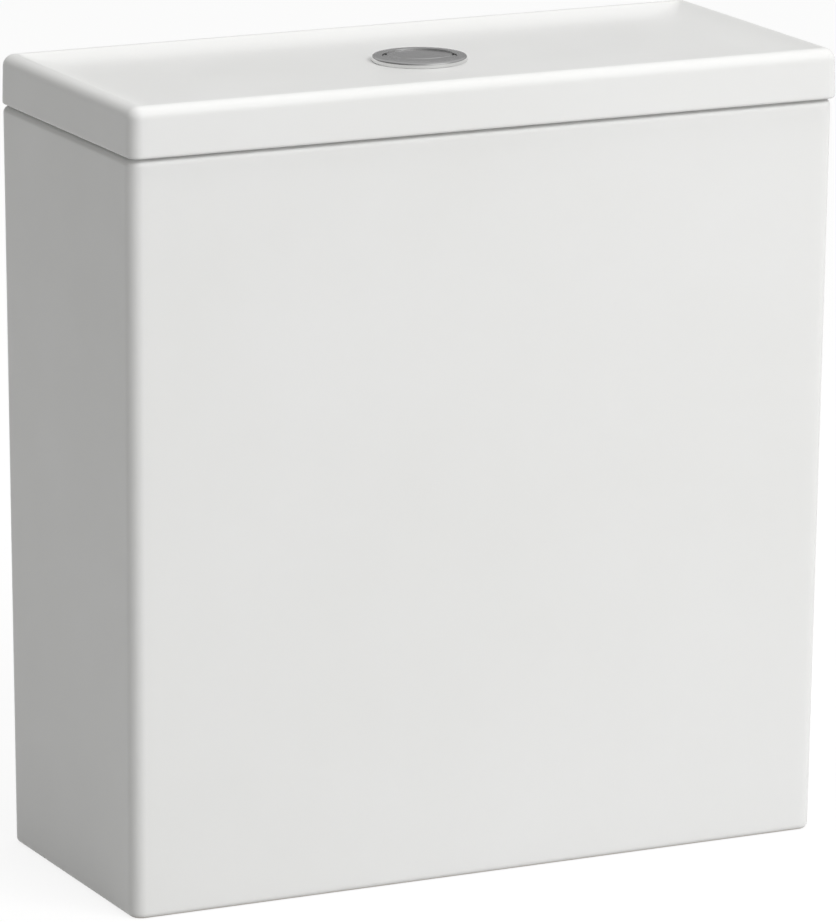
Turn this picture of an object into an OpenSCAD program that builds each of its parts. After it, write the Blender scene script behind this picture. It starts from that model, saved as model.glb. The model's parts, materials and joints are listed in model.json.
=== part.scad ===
// Close-coupled toilet cistern with a push-button dual flush.
// Origin at the middle of the foot, +X to the right, front towards -Y, +Z up, millimetres.

/* [Tank] */
// Width of the tank at its rim
tank_w = 386; // [376:1:420]
// Depth of the tank at its rim
tank_d = 166; // [158:1:190]
// Height of the tank, foot to rim
tank_h = 383.7; // [370:0.1:410]
// Draft of each side, rim to foot
side_draft = 2.7; // [0:0.1:6]
// Draft of the front, rim to foot
front_draft = 8.7; // [0:0.1:12]
// Thickness of the china walls
wall = 10; // [9:0.5:12]
// Thickness of the china floor
floor_t = 11; // [9:0.5:13]
// Height of the hollow foot under the floor
foot_h = 42; // [41:1:48]
// Radius of the upright edges
edge_r = 7; // [5:0.5:10]
// Radius of the rim's outer edge
rim_r = 3.5; // [2:0.5:4]
// Radius of the foot's outer edge
foot_r = 3; // [1:0.5:4]

/* [Lid] */
// Height of the lid, bearing face to crest
lid_h = 25.4; // [24:0.1:32]
// Overhang of the lid at each side
lid_side = 0.7; // [0:0.1:3]
// Overhang of the lid at the front
lid_front = 3; // [1:0.1:6]
// Setback of the lid at the rear
lid_rear = 1; // [0:0.1:2]
// Draft of the lid's outside, bearing face to crest
lid_draft = 0.4; // [0.2:0.1:1.5]
// Radius of the lid's upright edges
lid_edge_r = 6.5; // [6.5:0.5:10]
// Radius of the lid's top edge
lid_top_r = 6; // [4:0.5:6]
// Radius of the lid's lower edge
lid_foot_r = 2; // [1:0.5:3]
// Depth of the dished top below the crest
dish_depth = 5; // [3:0.5:6]
// Width of the slope round the dish
dish_slope = 20; // [14:1:26]
// Thickness of the lid's plate under the dish
plate_t = 9; // [7:0.5:10]
// Thickness of the pads between tank and lid
pad_t = 0.9; // [0.6:0.1:2.5]

/* [Push button] */
// Outer diameter of the bezel
bezel_d = 48.2; // [46:0.1:54]
// Diameter of the two buttons together
caps_d = 36.8; // [36:0.1:38]
// Travel of a button
press = 6.5; // [5:0.1:6.8]
// Turn of the buttons and the flush valve in plan
valve_turn = -25.5; // [-30:0.5:30]
// Gap between the two buttons
split_gap = 0.5; // [0.4:0.1:0.8]
// Depth of the half-flush button at its middle
half_depth = 10.3; // [9.5:0.1:11.5]
// Radius of the arc that splits the buttons
split_r = 17.9; // [17:0.1:18]

/* [Flush valve] */
// Height of the lever pins above the valve base
valve_h = 240; // [220:1:246]
// Outer diameter of the outlet tail
tail_d = 58.4; // [56:0.1:60]
// Bore of the outlet tail
outlet_d = 48; // [44:1:50]
// Outer diameter of the valve drum
drum_d = 84; // [80:1:88]
// Outer diameter of the overflow tube
tube_d = 28; // [24:1:29]

/* [Fill valve] */
// Distance of the fill valve from the tank's left edge
inlet_side = 55; // [53:1:57]
// Outer diameter of the inlet tail
inlet_d = 20.8; // [20:0.1:21]
// Height of the fill valve's head above the floor
fill_h = 169; // [150:1:185]
// Droop of the float arm in an empty tank, in degrees
arm_droop = 12; // [8:1:14]

/* [Fixings] */
// Distance between the two pan bolts
bolt_spacing = 160; // [150:1:170]
// Diameter of the pan bolts
bolt_d = 8; // [6:1:10]
// Distance between the two wall screw holes in the back
wall_spacing = 300; // [240:1:310]
// Height of the wall screw holes above the foot
wall_z = 318; // [300:1:330]
// Diameter of the wall screw holes
wall_hole_d = 9; // [7:0.5:11]

/* [Fits] */
// Radial play of a pin in the piece that turns on it
pin_play = 0.06; // [0.03:0.01:0.1]
// Gap between pieces that move past each other
run_gap = 0.4; // [0.3:0.05:0.6]
// Gap under a moving piece that comes to rest on another
rest_gap = 0.2; // [0.1:0.05:0.3]
// Radial gap of screwed pieces, whose threads are left plain
thread_gap = 0.15; // [0.1:0.05:0.2]

/* [Hidden] */
$fn = 64;
slice = 0.01;
china = [0.97, 0.97, 0.96];
plastic = [0.93, 0.94, 0.95];
rubber = [0.16, 0.16, 0.17];
chrome = [0.75, 0.76, 0.78];
brass = [0.78, 0.66, 0.36];

// Plan of the tank and lid
overall_d = tank_d + lid_front;
y_back = overall_d / 2;
y_front = y_back - tank_d;
inner_r = 10;
floor_top = foot_h + floor_t;
rim_mid = (rim_r + wall) / 2;
pad_inset = 42.5;

// Levels of the lid
lid_z = tank_h + pad_t;
lid_top = lid_z + lid_h;
dish_z = lid_top - dish_depth;
plate_z = dish_z - plate_t;
lid_x = tank_w / 2 + lid_side;
lid_y0 = -overall_d / 2;
lid_y1 = y_back - lid_rear;
lip_gap = 2;
lip_t = 6;
lip_h = 8;
lip_in = wall + lip_gap;
dish_r = (dish_slope ^ 2 + dish_depth ^ 2) / (2 * dish_depth);
dish_turn = asin(dish_slope / dish_r);
crest_w = 1;
crest_corner_r = 2;

// Push button, whose two caps are split by an arc
caps_r = caps_d / 2;
caps_play = 0.3;
shank_bore = caps_r + caps_play;
shank_r = shank_bore + 1.3;
lid_hole_r = shank_r + 0.5;
bezel_r = bezel_d / 2;
bezel_seal_t = 0.5;
bezel_z = dish_z + bezel_seal_t;
bezel_h = 2.4;
skirt_t = 1.4;
skirt_gap = 0.1;
caps_skirt = 4;
caps_sink = 0.4;
caps_z = bezel_z - caps_skirt;
caps_top = bezel_z + bezel_h - caps_sink;
web_t = 3;
guide_depth = 31;
web_z = bezel_z - guide_depth;
split_edge = half_depth - caps_r;
split_v = split_edge + split_r;
notch_r = 1.7;
notch_v = (caps_r ^ 2 - split_r ^ 2 + split_v ^ 2) / (2 * split_v);
notch_u = sqrt(caps_r ^ 2 - notch_v ^ 2);
full_v = (caps_r + split_edge) / 2;
half_v = (split_edge - caps_r) / 2;
rod_r = 3;
rod_top = caps_z + 2.5;
rod_collar_r = 4.5;
spring_r = 4.1;
spring_wire_r = 0.45;
spring_turns = 6;
spring_len = caps_z - web_z - web_t;
nut_h = 7;

// Levels and radii of the flush valve
seal_t = 3;
flange_z = floor_top + seal_t;
flange_t = 4;
base_z = flange_z + flange_t;
seat_h = 5;
seat_z = base_z + seat_h;
tail_r = tail_d / 2;
outlet_tail = 38;
tail_z = foot_h - outlet_tail;
spigot_r = tail_r - 1.2;
outlet_r = outlet_d / 2;
outlet_hole_r = tail_r + 1.8;
back_nut_rim = 10;
back_nut_r = tail_r + back_nut_rim;
back_nut_h = 10;
gasket_rim = 8;
gasket_r = back_nut_r + gasket_rim;
gasket_h = 26;
gasket_z = foot_h - gasket_h;
drum_r = drum_d / 2;
drum_wall = 3;
drum_h = 110;
window_h = 28;
tube_r = tube_d / 2;
tube_wall = 2;
plug_lap = 7;
plug_r = outlet_r + plug_lap;
flush_seal_t = 2.5;
drum_top = base_z + drum_h;
drum_plate = 4;
guide_top = drum_top + drum_plate;

// Levers: a short arm under each rod and a long arm that lifts
lever_z = base_z + valve_h;
pad_arm = 14;
lift_arm = 30;
lever_w = 6;
hub_r = 5;
nose_r = 2.5;
pad_h = 3;
pin_r = 2;
cheek_t = 3;
cheek_in = lever_w / 2 + run_gap;
cheek_out = cheek_in + cheek_t;
post = 6;
post_u = 20;
web_drop = 16;
web_h = 7;
nose_u = pad_arm + lift_arm;
hook_u = nose_u + nose_r + 1;
hook_t = 4.5;
hook_z = lever_z + nose_r + rest_gap;
hook_h = 6;
hook_reach = 10;
tube_drop = 32;
tube_top = lever_z - tube_drop;
collar_drop = 50;
collar_z = lever_z - collar_drop;
collar_h = 6;
rod_tip_z = lever_z + pad_h + run_gap + rod_r;

// Half-flush float, which hangs on its own lift rod
lift_rod_r = 2.2;
lift_u = hook_u + lift_rod_r;
float_r = 11;
float_h = 38;
float_z = guide_top + rest_gap;
guide_drop = 60;
guide_z = lever_z - guide_drop;
guide_h = 6;

// Fill valve
inlet_x = tank_w / 2 - inlet_side;
fill_y = 6;
inlet_r = inlet_d / 2;
inlet_tail = 30;
inlet_z = foot_h - inlet_tail;
inlet_bore = 6;
filter_h = 26;
filter_end = 2;
inlet_hole_r = inlet_r + 1.1;
inlet_nut_h = 9;
groove_h = 2;
groove_z = foot_h - inlet_nut_h - groove_h;
fill_flange_r = 17;
riser_r = 9;
head_z = floor_top + fill_h;
head_h = 24;
head_r = 16;
diaphragm_t = 2;
cap_skirt = 6;
cap_r = head_r + 2.5;
cap_z = head_z + head_h + diaphragm_t;
cap_t = 7;
spout_y = 25;
spout_r = 5;
spout_rise = 12;
spout_z = head_z + spout_rise;
spout_clear = 25;
pivot_x = 10;
pivot_rise = 9;
pivot_z = cap_z + cap_t + pivot_rise;
arm_pin_r = 1.6;
arm_w = 9;
arm_t = 5;
arm_len = 38;
tail_len = 14;
screw_r = 2.5;
screw_head_h = 6;
cup_r = 17;
cup_h = 40;
cup_top = -21;

// Pan bolts
bolt_r = bolt_d / 2;
bolt_x = bolt_spacing / 2;
bolt_z = 6;
bolt_hole_r = bolt_r + 2;
cone_t = 4;
washer_t = 1.5;
washer_rim = 6;
washer_r = bolt_r + washer_rim;
bolt_nut_h = 0.8 * bolt_d;
bolt_nut_z = foot_h - washer_t - bolt_nut_h;
bolt_shank_r = bolt_r - 0.3;

// Half width of the tank at a height
function side_at(z) = tank_w / 2 - side_draft * (1 - z / tank_h);

// Front face of the tank at a height
function front_at(z) = y_front + front_draft * (1 - z / tank_h);

// Centre line of a wound wire with straight ends, eight points to a turn
function coil_path(r, length, turns, wire_r) = concat(
    [[r, 0, 0]],
    [for (i = [0 : turns * 8])
        let (a = i * 45, t = i / (turns * 8))
        [r * cos(a), r * sin(a), 2 * wire_r + t * (length - 4 * wire_r)]],
    [[r * cos(turns * 360), r * sin(turns * 360), length]]
);

// Direction of a path at one of its points
function path_dir(p, i) =
    let (d = p[min(i + 1, len(p) - 1)] - p[max(i - 1, 0)])
    d / norm(d);

// Six corners round a path point, square to the path
function wire_ring(p, i, wire_r) =
    let (t = path_dir(p, i), n0 = [p[i].x, p[i].y, 0], n = n0 / norm(n0), b = cross(t, n))
    [for (k = [0 : 5]) p[i] + wire_r * (cos(60 * k) * n + sin(60 * k) * b)];

// Least distance between points of a wire that are over half a turn apart, less its thickness
function least_gap(p, wire_r) =
    min([for (i = [0 : len(p) - 7], j = [i + 6 : len(p) - 1]) norm(p[i] - p[j])]) - 2 * wire_r;

// Rectangle with true round corners
module round_rect(x0, x1, y0, y1, r) {
    translate([x0 + r, y0]) square([x1 - x0 - 2 * r, y1 - y0]);
    translate([x0, y0 + r]) square([x1 - x0, y1 - y0 - 2 * r]);
    for (x = [x0 + r, x1 - r], y = [y0 + r, y1 - r])
        translate([x, y]) circle(r);
}

// Round tube standing between two levels
module tube(r_out, r_in, z0, z1) {
    translate([0, 0, z0])
        linear_extrude(z1 - z0)
            difference() {
                circle(r_out);
                circle(r_in);
            }
}

// Round bar standing between two levels
module bar(r, z0, z1) {
    translate([0, 0, z0]) cylinder(r = r, h = z1 - z0);
}

// Box given by its low and high corners
module box(low, high) {
    translate(low) cube(high - low);
}

// Flat shape drawn in X and Z, thick from y0 to y1
module upright(y0, y1) {
    translate([0, y1, 0])
        rotate([90, 0, 0])
            linear_extrude(y1 - y0) children();
}

// Round bar lying along Y
module cross_bar(r, y0, y1) {
    translate([0, y0, 0])
        rotate([-90, 0, 0]) cylinder(r = r, h = y1 - y0);
}

// Places its children in the turned frame of the buttons and the flush valve
module valve_place() {
    rotate([0, 0, valve_turn]) children();
}

// Places its children on the axis of the fill valve
module fill_place() {
    translate([-inlet_x, fill_y, 0]) children();
}

// Places its children on the float arm, which droops about its pin
module arm_place() {
    fill_place()
        translate([pivot_x, 0, pivot_z])
            rotate([0, arm_droop, 0]) children();
}

// Places its children at both pan bolts
module bolt_places() {
    for (x = [-bolt_x, bolt_x])
        translate([x, 0, 0]) children();
}

// Thin plan slice of the tank, drawn in by an inset
module tank_slice(z, inset, r) {
    translate([0, 0, z])
        linear_extrude(slice)
            round_rect(-side_at(z) + inset, side_at(z) - inset, front_at(z) + inset, y_back - inset, r);
}

// Thin plan slice of the lid, drawn in by its draft and an inset
module lid_slice(z, inset, r) {
    in = inset + lid_draft * (z - lid_z) / lid_h;
    translate([0, 0, z])
        linear_extrude(slice)
            round_rect(-lid_x + in, lid_x - in, lid_y0 + in, lid_y1 - in, r);
}

// Plan of the lip that drops inside the tank's mouth, drawn in by an inset
module lip_plan(inset) {
    in = lip_in + inset;
    round_rect(-tank_w / 2 + in, tank_w / 2 - in, y_front + in, y_back - in, inner_r - 4);
}

// Tapered outside of the tank with rounded foot and rim
module tank_outside() {
    hull($fn = 32)
        for (a = [0 : 22.5 : 90]) {
            foot_in = foot_r * (1 - sin(a));
            rim_in = rim_r * (1 - sin(a));
            tank_slice(foot_r * (1 - cos(a)), foot_in, edge_r - foot_in, $fn = 32);
            tank_slice(tank_h - slice - rim_r * (1 - cos(a)), rim_in, edge_r - rim_in, $fn = 32);
        }
}

// Space that holds the water, with a rounded bottom
module water_space() {
    hull() {
        for (a = [0 : 22.5 : 90])
            tank_slice(floor_top + inner_r * (1 - cos(a)), wall + inner_r * (1 - sin(a)), inner_r, $fn = 32);
        tank_slice(tank_h + 1, wall, inner_r, $fn = 32);
    }
}

// Hollow under the floor, which keeps the fittings above the foot
module foot_space() {
    soft = 5;
    hull() {
        tank_slice(-1, wall + 1, inner_r, $fn = 32);
        for (a = [0 : 30 : 90])
            tank_slice(foot_h - slice - soft * (1 - cos(a)), wall + 1 + soft * (1 - sin(a)), inner_r, $fn = 32);
    }
}

module tank() {
    color(china)
        difference() {
            tank_outside();
            water_space();
            foot_space();
            bar(outlet_hole_r, foot_h - 1, floor_top + 1);
            fill_place() bar(inlet_hole_r, foot_h - 1, floor_top + 1);
            bolt_places() bar(bolt_hole_r, foot_h - 1, floor_top + 1);
            for (x = [-wall_spacing / 2, wall_spacing / 2])
                translate([x, 0, wall_z]) cross_bar(wall_hole_d / 2, y_back - wall - 1, y_back + 1);
        }
}

// Outside of the lid before it is dished and hollowed
module lid_outside() {
    hull()
        for (a = [0 : 22.5 : 90]) {
            foot_in = lid_foot_r * (1 - sin(a));
            top_in = lid_top_r * (1 - sin(a));
            lid_slice(lid_z + lid_foot_r * (1 - cos(a)), foot_in, lid_edge_r - foot_in, $fn = 32);
            lid_slice(lid_top - slice - lid_top_r * (1 - cos(a)), top_in, lid_edge_r - top_in, $fn = 32);
        }
}

// Shallow bowl that is sunk into the top of the lid
module lid_dish() {
    crest_in = lid_top_r + crest_w;
    hull() {
        for (i = [0 : 6]) {
            a = dish_turn * i / 6;
            in = dish_slope - dish_r * sin(a);
            lid_slice(dish_z + dish_r * (1 - cos(a)), crest_in + in, crest_corner_r + 0.5 * in, $fn = 32);
        }
        lid_slice(lid_top + 1, crest_in - 0.3, crest_corner_r, $fn = 32);
    }
}

module lid() {
    color(china)
        difference() {
            union() {
                difference() {
                    lid_outside();
                    translate([0, 0, lid_z - 1])
                        linear_extrude(plate_z - lid_z + 1) lip_plan(1);
                }
                translate([0, 0, lid_z - lip_h])
                    linear_extrude(plate_z + 1 - lid_z + lip_h)
                        difference() {
                            lip_plan(0);
                            lip_plan(lip_t);
                        }
            }
            lid_dish();
            bar(lid_hole_r, plate_z - 1, dish_z + 1);
        }
}

module lid_pads() {
    pad_l = 16;
    pad_w = 4.4;
    pad_x = tank_w / 2 - pad_inset;
    color(rubber)
        for (x = [-pad_x, pad_x], y = [y_front + rim_mid, y_back - rim_mid])
            translate([x, y, tank_h])
                linear_extrude(pad_t)
                    round_rect(-pad_l / 2, pad_l / 2, -pad_w / 2, pad_w / 2, 1.5);
}

module button_bezel() {
    edge = 1.4;
    color(chrome)
        valve_place() {
            rotate_extrude()
                difference() {
                    union() {
                        translate([shank_bore, bezel_z]) square([bezel_r - edge - shank_bore, bezel_h]);
                        translate([shank_bore, bezel_z]) square([bezel_r - shank_bore, bezel_h - edge]);
                        translate([bezel_r - edge, bezel_z + bezel_h - edge]) intersection() {
                            circle(edge);
                            square(edge);
                        }
                        translate([shank_bore, web_z]) square([shank_r - shank_bore, bezel_z - web_z]);
                        translate([bezel_r - skirt_t, dish_z + skirt_gap]) square([skirt_t, bezel_h / 2]);
                    }
                    translate([shank_bore - 1, bezel_z + bezel_h]) rotate(-45) square(2, center = true);
                }
            difference() {
                bar(shank_bore + 0.1, web_z, web_z + web_t);
                for (v = [full_v, half_v])
                    translate([0, v, 0]) bar(rod_r + run_gap / 2, web_z - 1, web_z + web_t + 1);
                for (u = [-1, 1])
                    translate([u * 0.55 * caps_r, 0, 0]) bar(3.5, web_z - 1, web_z + web_t + 1);
            }
        }
}

module bezel_seal() {
    color(rubber) tube(bezel_r - skirt_t - skirt_gap, shank_r + 0.2, dish_z, bezel_z);
}

module bezel_nut() {
    grips = 10;
    color(plastic)
        difference() {
            union() {
                bar(shank_r + 6, plate_z - nut_h, plate_z);
                bar(shank_r + 8, plate_z - 2, plate_z);
                for (i = [0 : grips - 1])
                    rotate([0, 0, 360 * i / grips])
                        translate([shank_r + 6, 0, 0]) bar(1.6, plate_z - nut_h, plate_z - 1);
            }
            bar(shank_r + thread_gap, plate_z - nut_h - 1, plate_z + 1);
        }
}

// Disc of both buttons together, with a soft outer edge and a faint hollow
module caps_disc() {
    soft = 1;
    difference() {
        rotate_extrude() {
            translate([0, caps_z]) square([caps_r - soft, caps_top - caps_z]);
            translate([0, caps_z]) square([caps_r, caps_top - caps_z - soft]);
            translate([caps_r - soft, caps_top - soft]) intersection() {
                circle(soft);
                square(soft);
            }
        }
        for (u = [-1, 1])
            translate([u * notch_u, notch_v, 0]) bar(notch_r, caps_z - 1, caps_top + 1);
    }
}

// Everything behind the arc that splits the two buttons
module split_side(grow) {
    translate([0, split_v, caps_z - 1])
        cylinder(r = split_r + grow, h = caps_top - caps_z + 2);
}

module full_flush_button() {
    color(chrome)
        valve_place()
            difference() {
                intersection() {
                    caps_disc();
                    split_side(-split_gap / 2);
                }
                translate([0, full_v, 0]) bar(rod_r + thread_gap, caps_z - 1, rod_top);
            }
}

module half_flush_button() {
    color(chrome)
        valve_place()
            difference() {
                caps_disc();
                split_side(split_gap / 2);
                translate([0, half_v, 0]) bar(rod_r + thread_gap, caps_z - 1, rod_top);
            }
}

// Rod screwed into a button, with a collar that stops it under the bezel and a ball tip
module push_rod(v) {
    valve_place()
        translate([0, v, 0]) {
            bar(rod_r, rod_tip_z, rod_top);
            translate([0, 0, rod_tip_z]) sphere(rod_r);
            bar(rod_collar_r, web_z - rest_gap - 4, web_z - rest_gap);
        }
}

module full_push_rod() {
    color(plastic) push_rod(full_v);
}

module half_push_rod() {
    color(plastic) push_rod(half_v);
}

// Return spring round a rod, between the bezel's web and the button
module button_spring(v) {
    path = coil_path(spring_r, spring_len, spring_turns, spring_wire_r);
    last = len(path) - 1;
    corners = [for (i = [0 : last]) each wire_ring(path, i, spring_wire_r)];
    sides = [for (i = [0 : last - 1], k = [0 : 5])
        let (a = 6 * i + k, b = 6 * i + (k + 1) % 6)
        each [[a, b + 6, b], [a, a + 6, b + 6]]];
    ends = [[for (k = [0 : 5]) k], [for (k = [5 : -1 : 0]) 6 * last + k]];
    echo(least_gap_in_spring = least_gap(path, spring_wire_r));
    valve_place()
        translate([0, v, web_z + web_t])
            polyhedron(points = corners, faces = concat(sides, ends), convexity = 8);
}

module full_button_spring() {
    color("gray") button_spring(full_v);
}

module half_button_spring() {
    color("gray") button_spring(half_v);
}

module flush_valve_base() {
    color(plastic) {
        tube(spigot_r, outlet_r, tail_z, gasket_z + 1);
        tube(tail_r, outlet_r, gasket_z, flange_z + 1);
        tube(drum_r + 2, outlet_r, flange_z, base_z);
        tube(outlet_r + 4, outlet_r, base_z - 1, seat_z);
    }
}

module valve_base_seal() {
    color(rubber) tube(drum_r, tail_r + 0.3, floor_top, flange_z);
}

module valve_back_nut() {
    notches = 6;
    color(plastic)
        difference() {
            bar(back_nut_r, foot_h - back_nut_h, foot_h);
            bar(tail_r + thread_gap, foot_h - back_nut_h - 1, foot_h + 1);
            for (i = [0 : notches - 1])
                rotate([0, 0, 360 * i / notches])
                    translate([back_nut_r, 0, 0]) bar(3, foot_h - back_nut_h - 1, foot_h - 3);
        }
}

module coupling_gasket() {
    bevel = 4;
    inner = tail_r + 0.3;
    step = back_nut_r + 0.3;
    nut_z = foot_h - back_nut_h;
    color([0.25, 0.25, 0.26])
        rotate_extrude()
            polygon([
                [inner, gasket_z], [gasket_r - bevel, gasket_z], [gasket_r, gasket_z + bevel],
                [gasket_r, foot_h], [step, foot_h], [step, nut_z], [inner, nut_z]
            ]);
}

// Post of the tower, from the drum up to the yoke
module tower_post(u, v) {
    box([u - post / 2, v - post / 2, guide_top - 1], [u + post / 2, v + post / 2, lever_z - web_drop + web_h]);
}

// Cheeks that hold one lever's pin
module lever_cheeks(u, v) {
    for (s = [-1, 1]) {
        mid = v + s * (cheek_in + cheek_t / 2);
        upright(mid - cheek_t / 2, mid + cheek_t / 2) {
            translate([u, lever_z]) circle(hub_r + 1);
            translate([u - hub_r - 1, lever_z - web_drop]) square([2 * hub_r + 2, web_drop]);
            translate([u > 0 ? u : u - 9, lever_z - web_drop]) square([9, web_h]);
        }
    }
}

module valve_tower() {
    windows = 4;
    rear_v = full_v + cheek_out + post / 2;
    fore_v = half_v - cheek_out - post / 2;
    color(plastic)
        valve_place()
            difference() {
                union() {
                    tube(drum_r, drum_r - drum_wall, base_z, drum_top + 1);
                    tube(drum_r, drum_r - 6, base_z, base_z + 4);
                    bar(drum_r, drum_top, guide_top);
                    bar(tube_r + run_gap + 3, guide_top - 1, guide_top + 14);
                    for (u = [-post_u, post_u], v = [rear_v, fore_v])
                        tower_post(u, v);
                    for (u = [-post_u, post_u])
                        box([u - post / 2, fore_v - post / 2, lever_z - web_drop],
                            [u + post / 2, rear_v + post / 2, lever_z - web_drop + web_h]);
                    lever_cheeks(pad_arm, full_v);
                    lever_cheeks(-pad_arm, half_v);
                    for (z = [drum_top, guide_z]) {
                        top = z == guide_z ? z + guide_h : guide_top;
                        translate([-lift_u, half_v, 0]) bar(lift_rod_r + 5, z, top);
                        box([-lift_u, half_v - cheek_out - 2, z], [-post_u, half_v + 3, top]);
                    }
                }
                bar(tube_r + run_gap, drum_top - 1, guide_top + 15);
                translate([-lift_u, half_v, 0]) bar(lift_rod_r + run_gap, drum_top - 1, guide_z + guide_h + 1);
                for (i = [0 : windows - 1])
                    rotate([0, 0, 360 * i / windows + 45])
                        box([drum_r - 14, -drum_r * 0.52, base_z + 4],
                            [drum_r + 1, drum_r * 0.52, base_z + 4 + window_h]);
                translate([pad_arm, 0, lever_z])
                    cross_bar(pin_r + 0.02, full_v - cheek_out - 1, full_v + cheek_out + 1);
                translate([-pad_arm, 0, lever_z])
                    cross_bar(pin_r + 0.02, half_v - cheek_out - 1, half_v + cheek_out + 1);
            }
}

module overflow_tube() {
    plug_z = seat_z + rest_gap + flush_seal_t;
    wing = lever_w / 2;
    color([0.36, 0.55, 0.78])
        valve_place()
            difference() {
                union() {
                    bar(tube_r, seat_z + rest_gap, tube_top);
                    bar(plug_r, plug_z, plug_z + 3);
                    translate([0, 0, plug_z + 3]) cylinder(r1 = tube_r + 7, r2 = tube_r, h = 8);
                    bar(tube_r + 3, collar_z, collar_z + collar_h);
                    upright(full_v - wing, full_v + wing) {
                        translate([0, collar_z]) square([hook_u + hook_t, collar_h]);
                        translate([hook_u, collar_z]) square([hook_t, hook_z + hook_h - collar_z]);
                        translate([hook_u - hook_reach, hook_z]) square([hook_reach + hook_t, hook_h]);
                    }
                }
                bar(tube_r - tube_wall, seat_z - 1, tube_top + 1);
            }
}

module flush_seal() {
    color(rubber) tube(plug_r - 0.5, tube_r + 0.1, seat_z + rest_gap, seat_z + rest_gap + flush_seal_t);
}

// Lever drawn about its pin: pad arm towards -X, lifting arm towards +X
module lever_shape() {
    difference() {
        union() {
            circle(hub_r);
            polygon([[0, -4], [lift_arm, -nose_r], [lift_arm, nose_r], [lift_arm - hook_reach - 2, nose_r], [0, 4]]);
            translate([lift_arm, 0]) circle(nose_r);
            polygon([[0, -4], [0, pad_h], [-pad_arm - 4, pad_h], [-pad_arm - 4, -2]]);
        }
        circle(pin_r + pin_play);
    }
}

module full_flush_lever() {
    color([0.36, 0.55, 0.78])
        valve_place()
            translate([pad_arm, 0, lever_z])
                upright(full_v - lever_w / 2, full_v + lever_w / 2) lever_shape();
}

module half_flush_lever() {
    color([0.45, 0.72, 0.5])
        valve_place()
            translate([-pad_arm, 0, lever_z])
                upright(half_v - lever_w / 2, half_v + lever_w / 2) mirror([1, 0]) lever_shape();
}

module lever_pins() {
    color(brass)
        valve_place() {
            translate([pad_arm, 0, lever_z]) cross_bar(pin_r, full_v - cheek_out, full_v + cheek_out);
            translate([-pad_arm, 0, lever_z]) cross_bar(pin_r, half_v - cheek_out, half_v + cheek_out);
        }
}

module half_flush_float() {
    color([0.45, 0.72, 0.5])
        valve_place()
            translate([-lift_u, half_v, 0])
                difference() {
                    bar(float_r, float_z, float_z + float_h);
                    bar(lift_rod_r + thread_gap, float_z - 1, float_z + float_h + 1);
                    tube(float_r - 2, lift_rod_r + 3, float_z - 1, float_z + float_h - 4);
                }
}

module half_flush_lift_rod() {
    wing = lever_w / 2;
    color([0.45, 0.72, 0.5])
        valve_place() {
            translate([-lift_u, half_v, 0]) bar(lift_rod_r, drum_top - 8, hook_z + hook_h);
            translate([-lift_u, half_v, 0]) bar(lift_rod_r + 2, float_z + float_h, float_z + float_h + 3);
            box([-lift_u - lift_rod_r, half_v - wing, hook_z],
                [-hook_u + hook_reach, half_v + wing, hook_z + hook_h]);
        }
}

module fill_valve_body() {
    color(plastic)
        fill_place()
            difference() {
                union() {
                    bar(inlet_r, inlet_z, floor_top + seal_t + 1);
                    bar(fill_flange_r, floor_top + seal_t, floor_top + seal_t + 4);
                    bar(riser_r, floor_top + seal_t, head_z);
                    translate([0, 0, head_z - 6]) cylinder(r1 = riser_r, r2 = head_r, h = 6);
                    bar(head_r, head_z, head_z + head_h);
                    translate([0, 0, spout_z]) cross_bar(spout_r, 0, spout_y);
                    translate([0, spout_y, 0]) bar(spout_r, head_z + 2, spout_z + spout_r);
                }
                bar(inlet_bore, inlet_z - 1, head_z + head_h - 8);
                tube(inlet_r + 1, inlet_r - 0.6, groove_z, groove_z + groove_h);
                translate([0, 0, spout_z]) cross_bar(spout_r - 1.5, 0, spout_y);
                translate([0, spout_y, 0]) bar(spout_r - 1.5, head_z + 1, spout_z);
            }
}

module fill_valve_seal() {
    color(rubber)
        fill_place() tube(fill_flange_r - 1, inlet_r + 0.3, floor_top, floor_top + seal_t);
}

module fill_back_nut() {
    color(plastic)
        fill_place()
            difference() {
                union() {
                    translate([0, 0, foot_h - inlet_nut_h])
                        cylinder(r = inlet_r + 6.5, h = inlet_nut_h - 1, $fn = 6);
                    bar(inlet_r + 8, foot_h - 2, foot_h);
                }
                bar(inlet_r + thread_gap, foot_h - inlet_nut_h - 1, foot_h + 1);
            }
}

module inlet_filter() {
    color("lightblue")
        fill_place() {
            tube(inlet_bore - 0.1, 3, inlet_z + 0.5, inlet_z + 0.5 + filter_end);
            tube(inlet_bore - 1.4, 3, inlet_z + filter_end, inlet_z + filter_h);
            bar(inlet_bore - 1.4, inlet_z + filter_h - filter_end / 2, inlet_z + filter_h + filter_end / 2);
        }
}

module fill_diaphragm() {
    color(rubber) fill_place() bar(head_r - 1, cap_z - diaphragm_t, cap_z);
}

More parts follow.
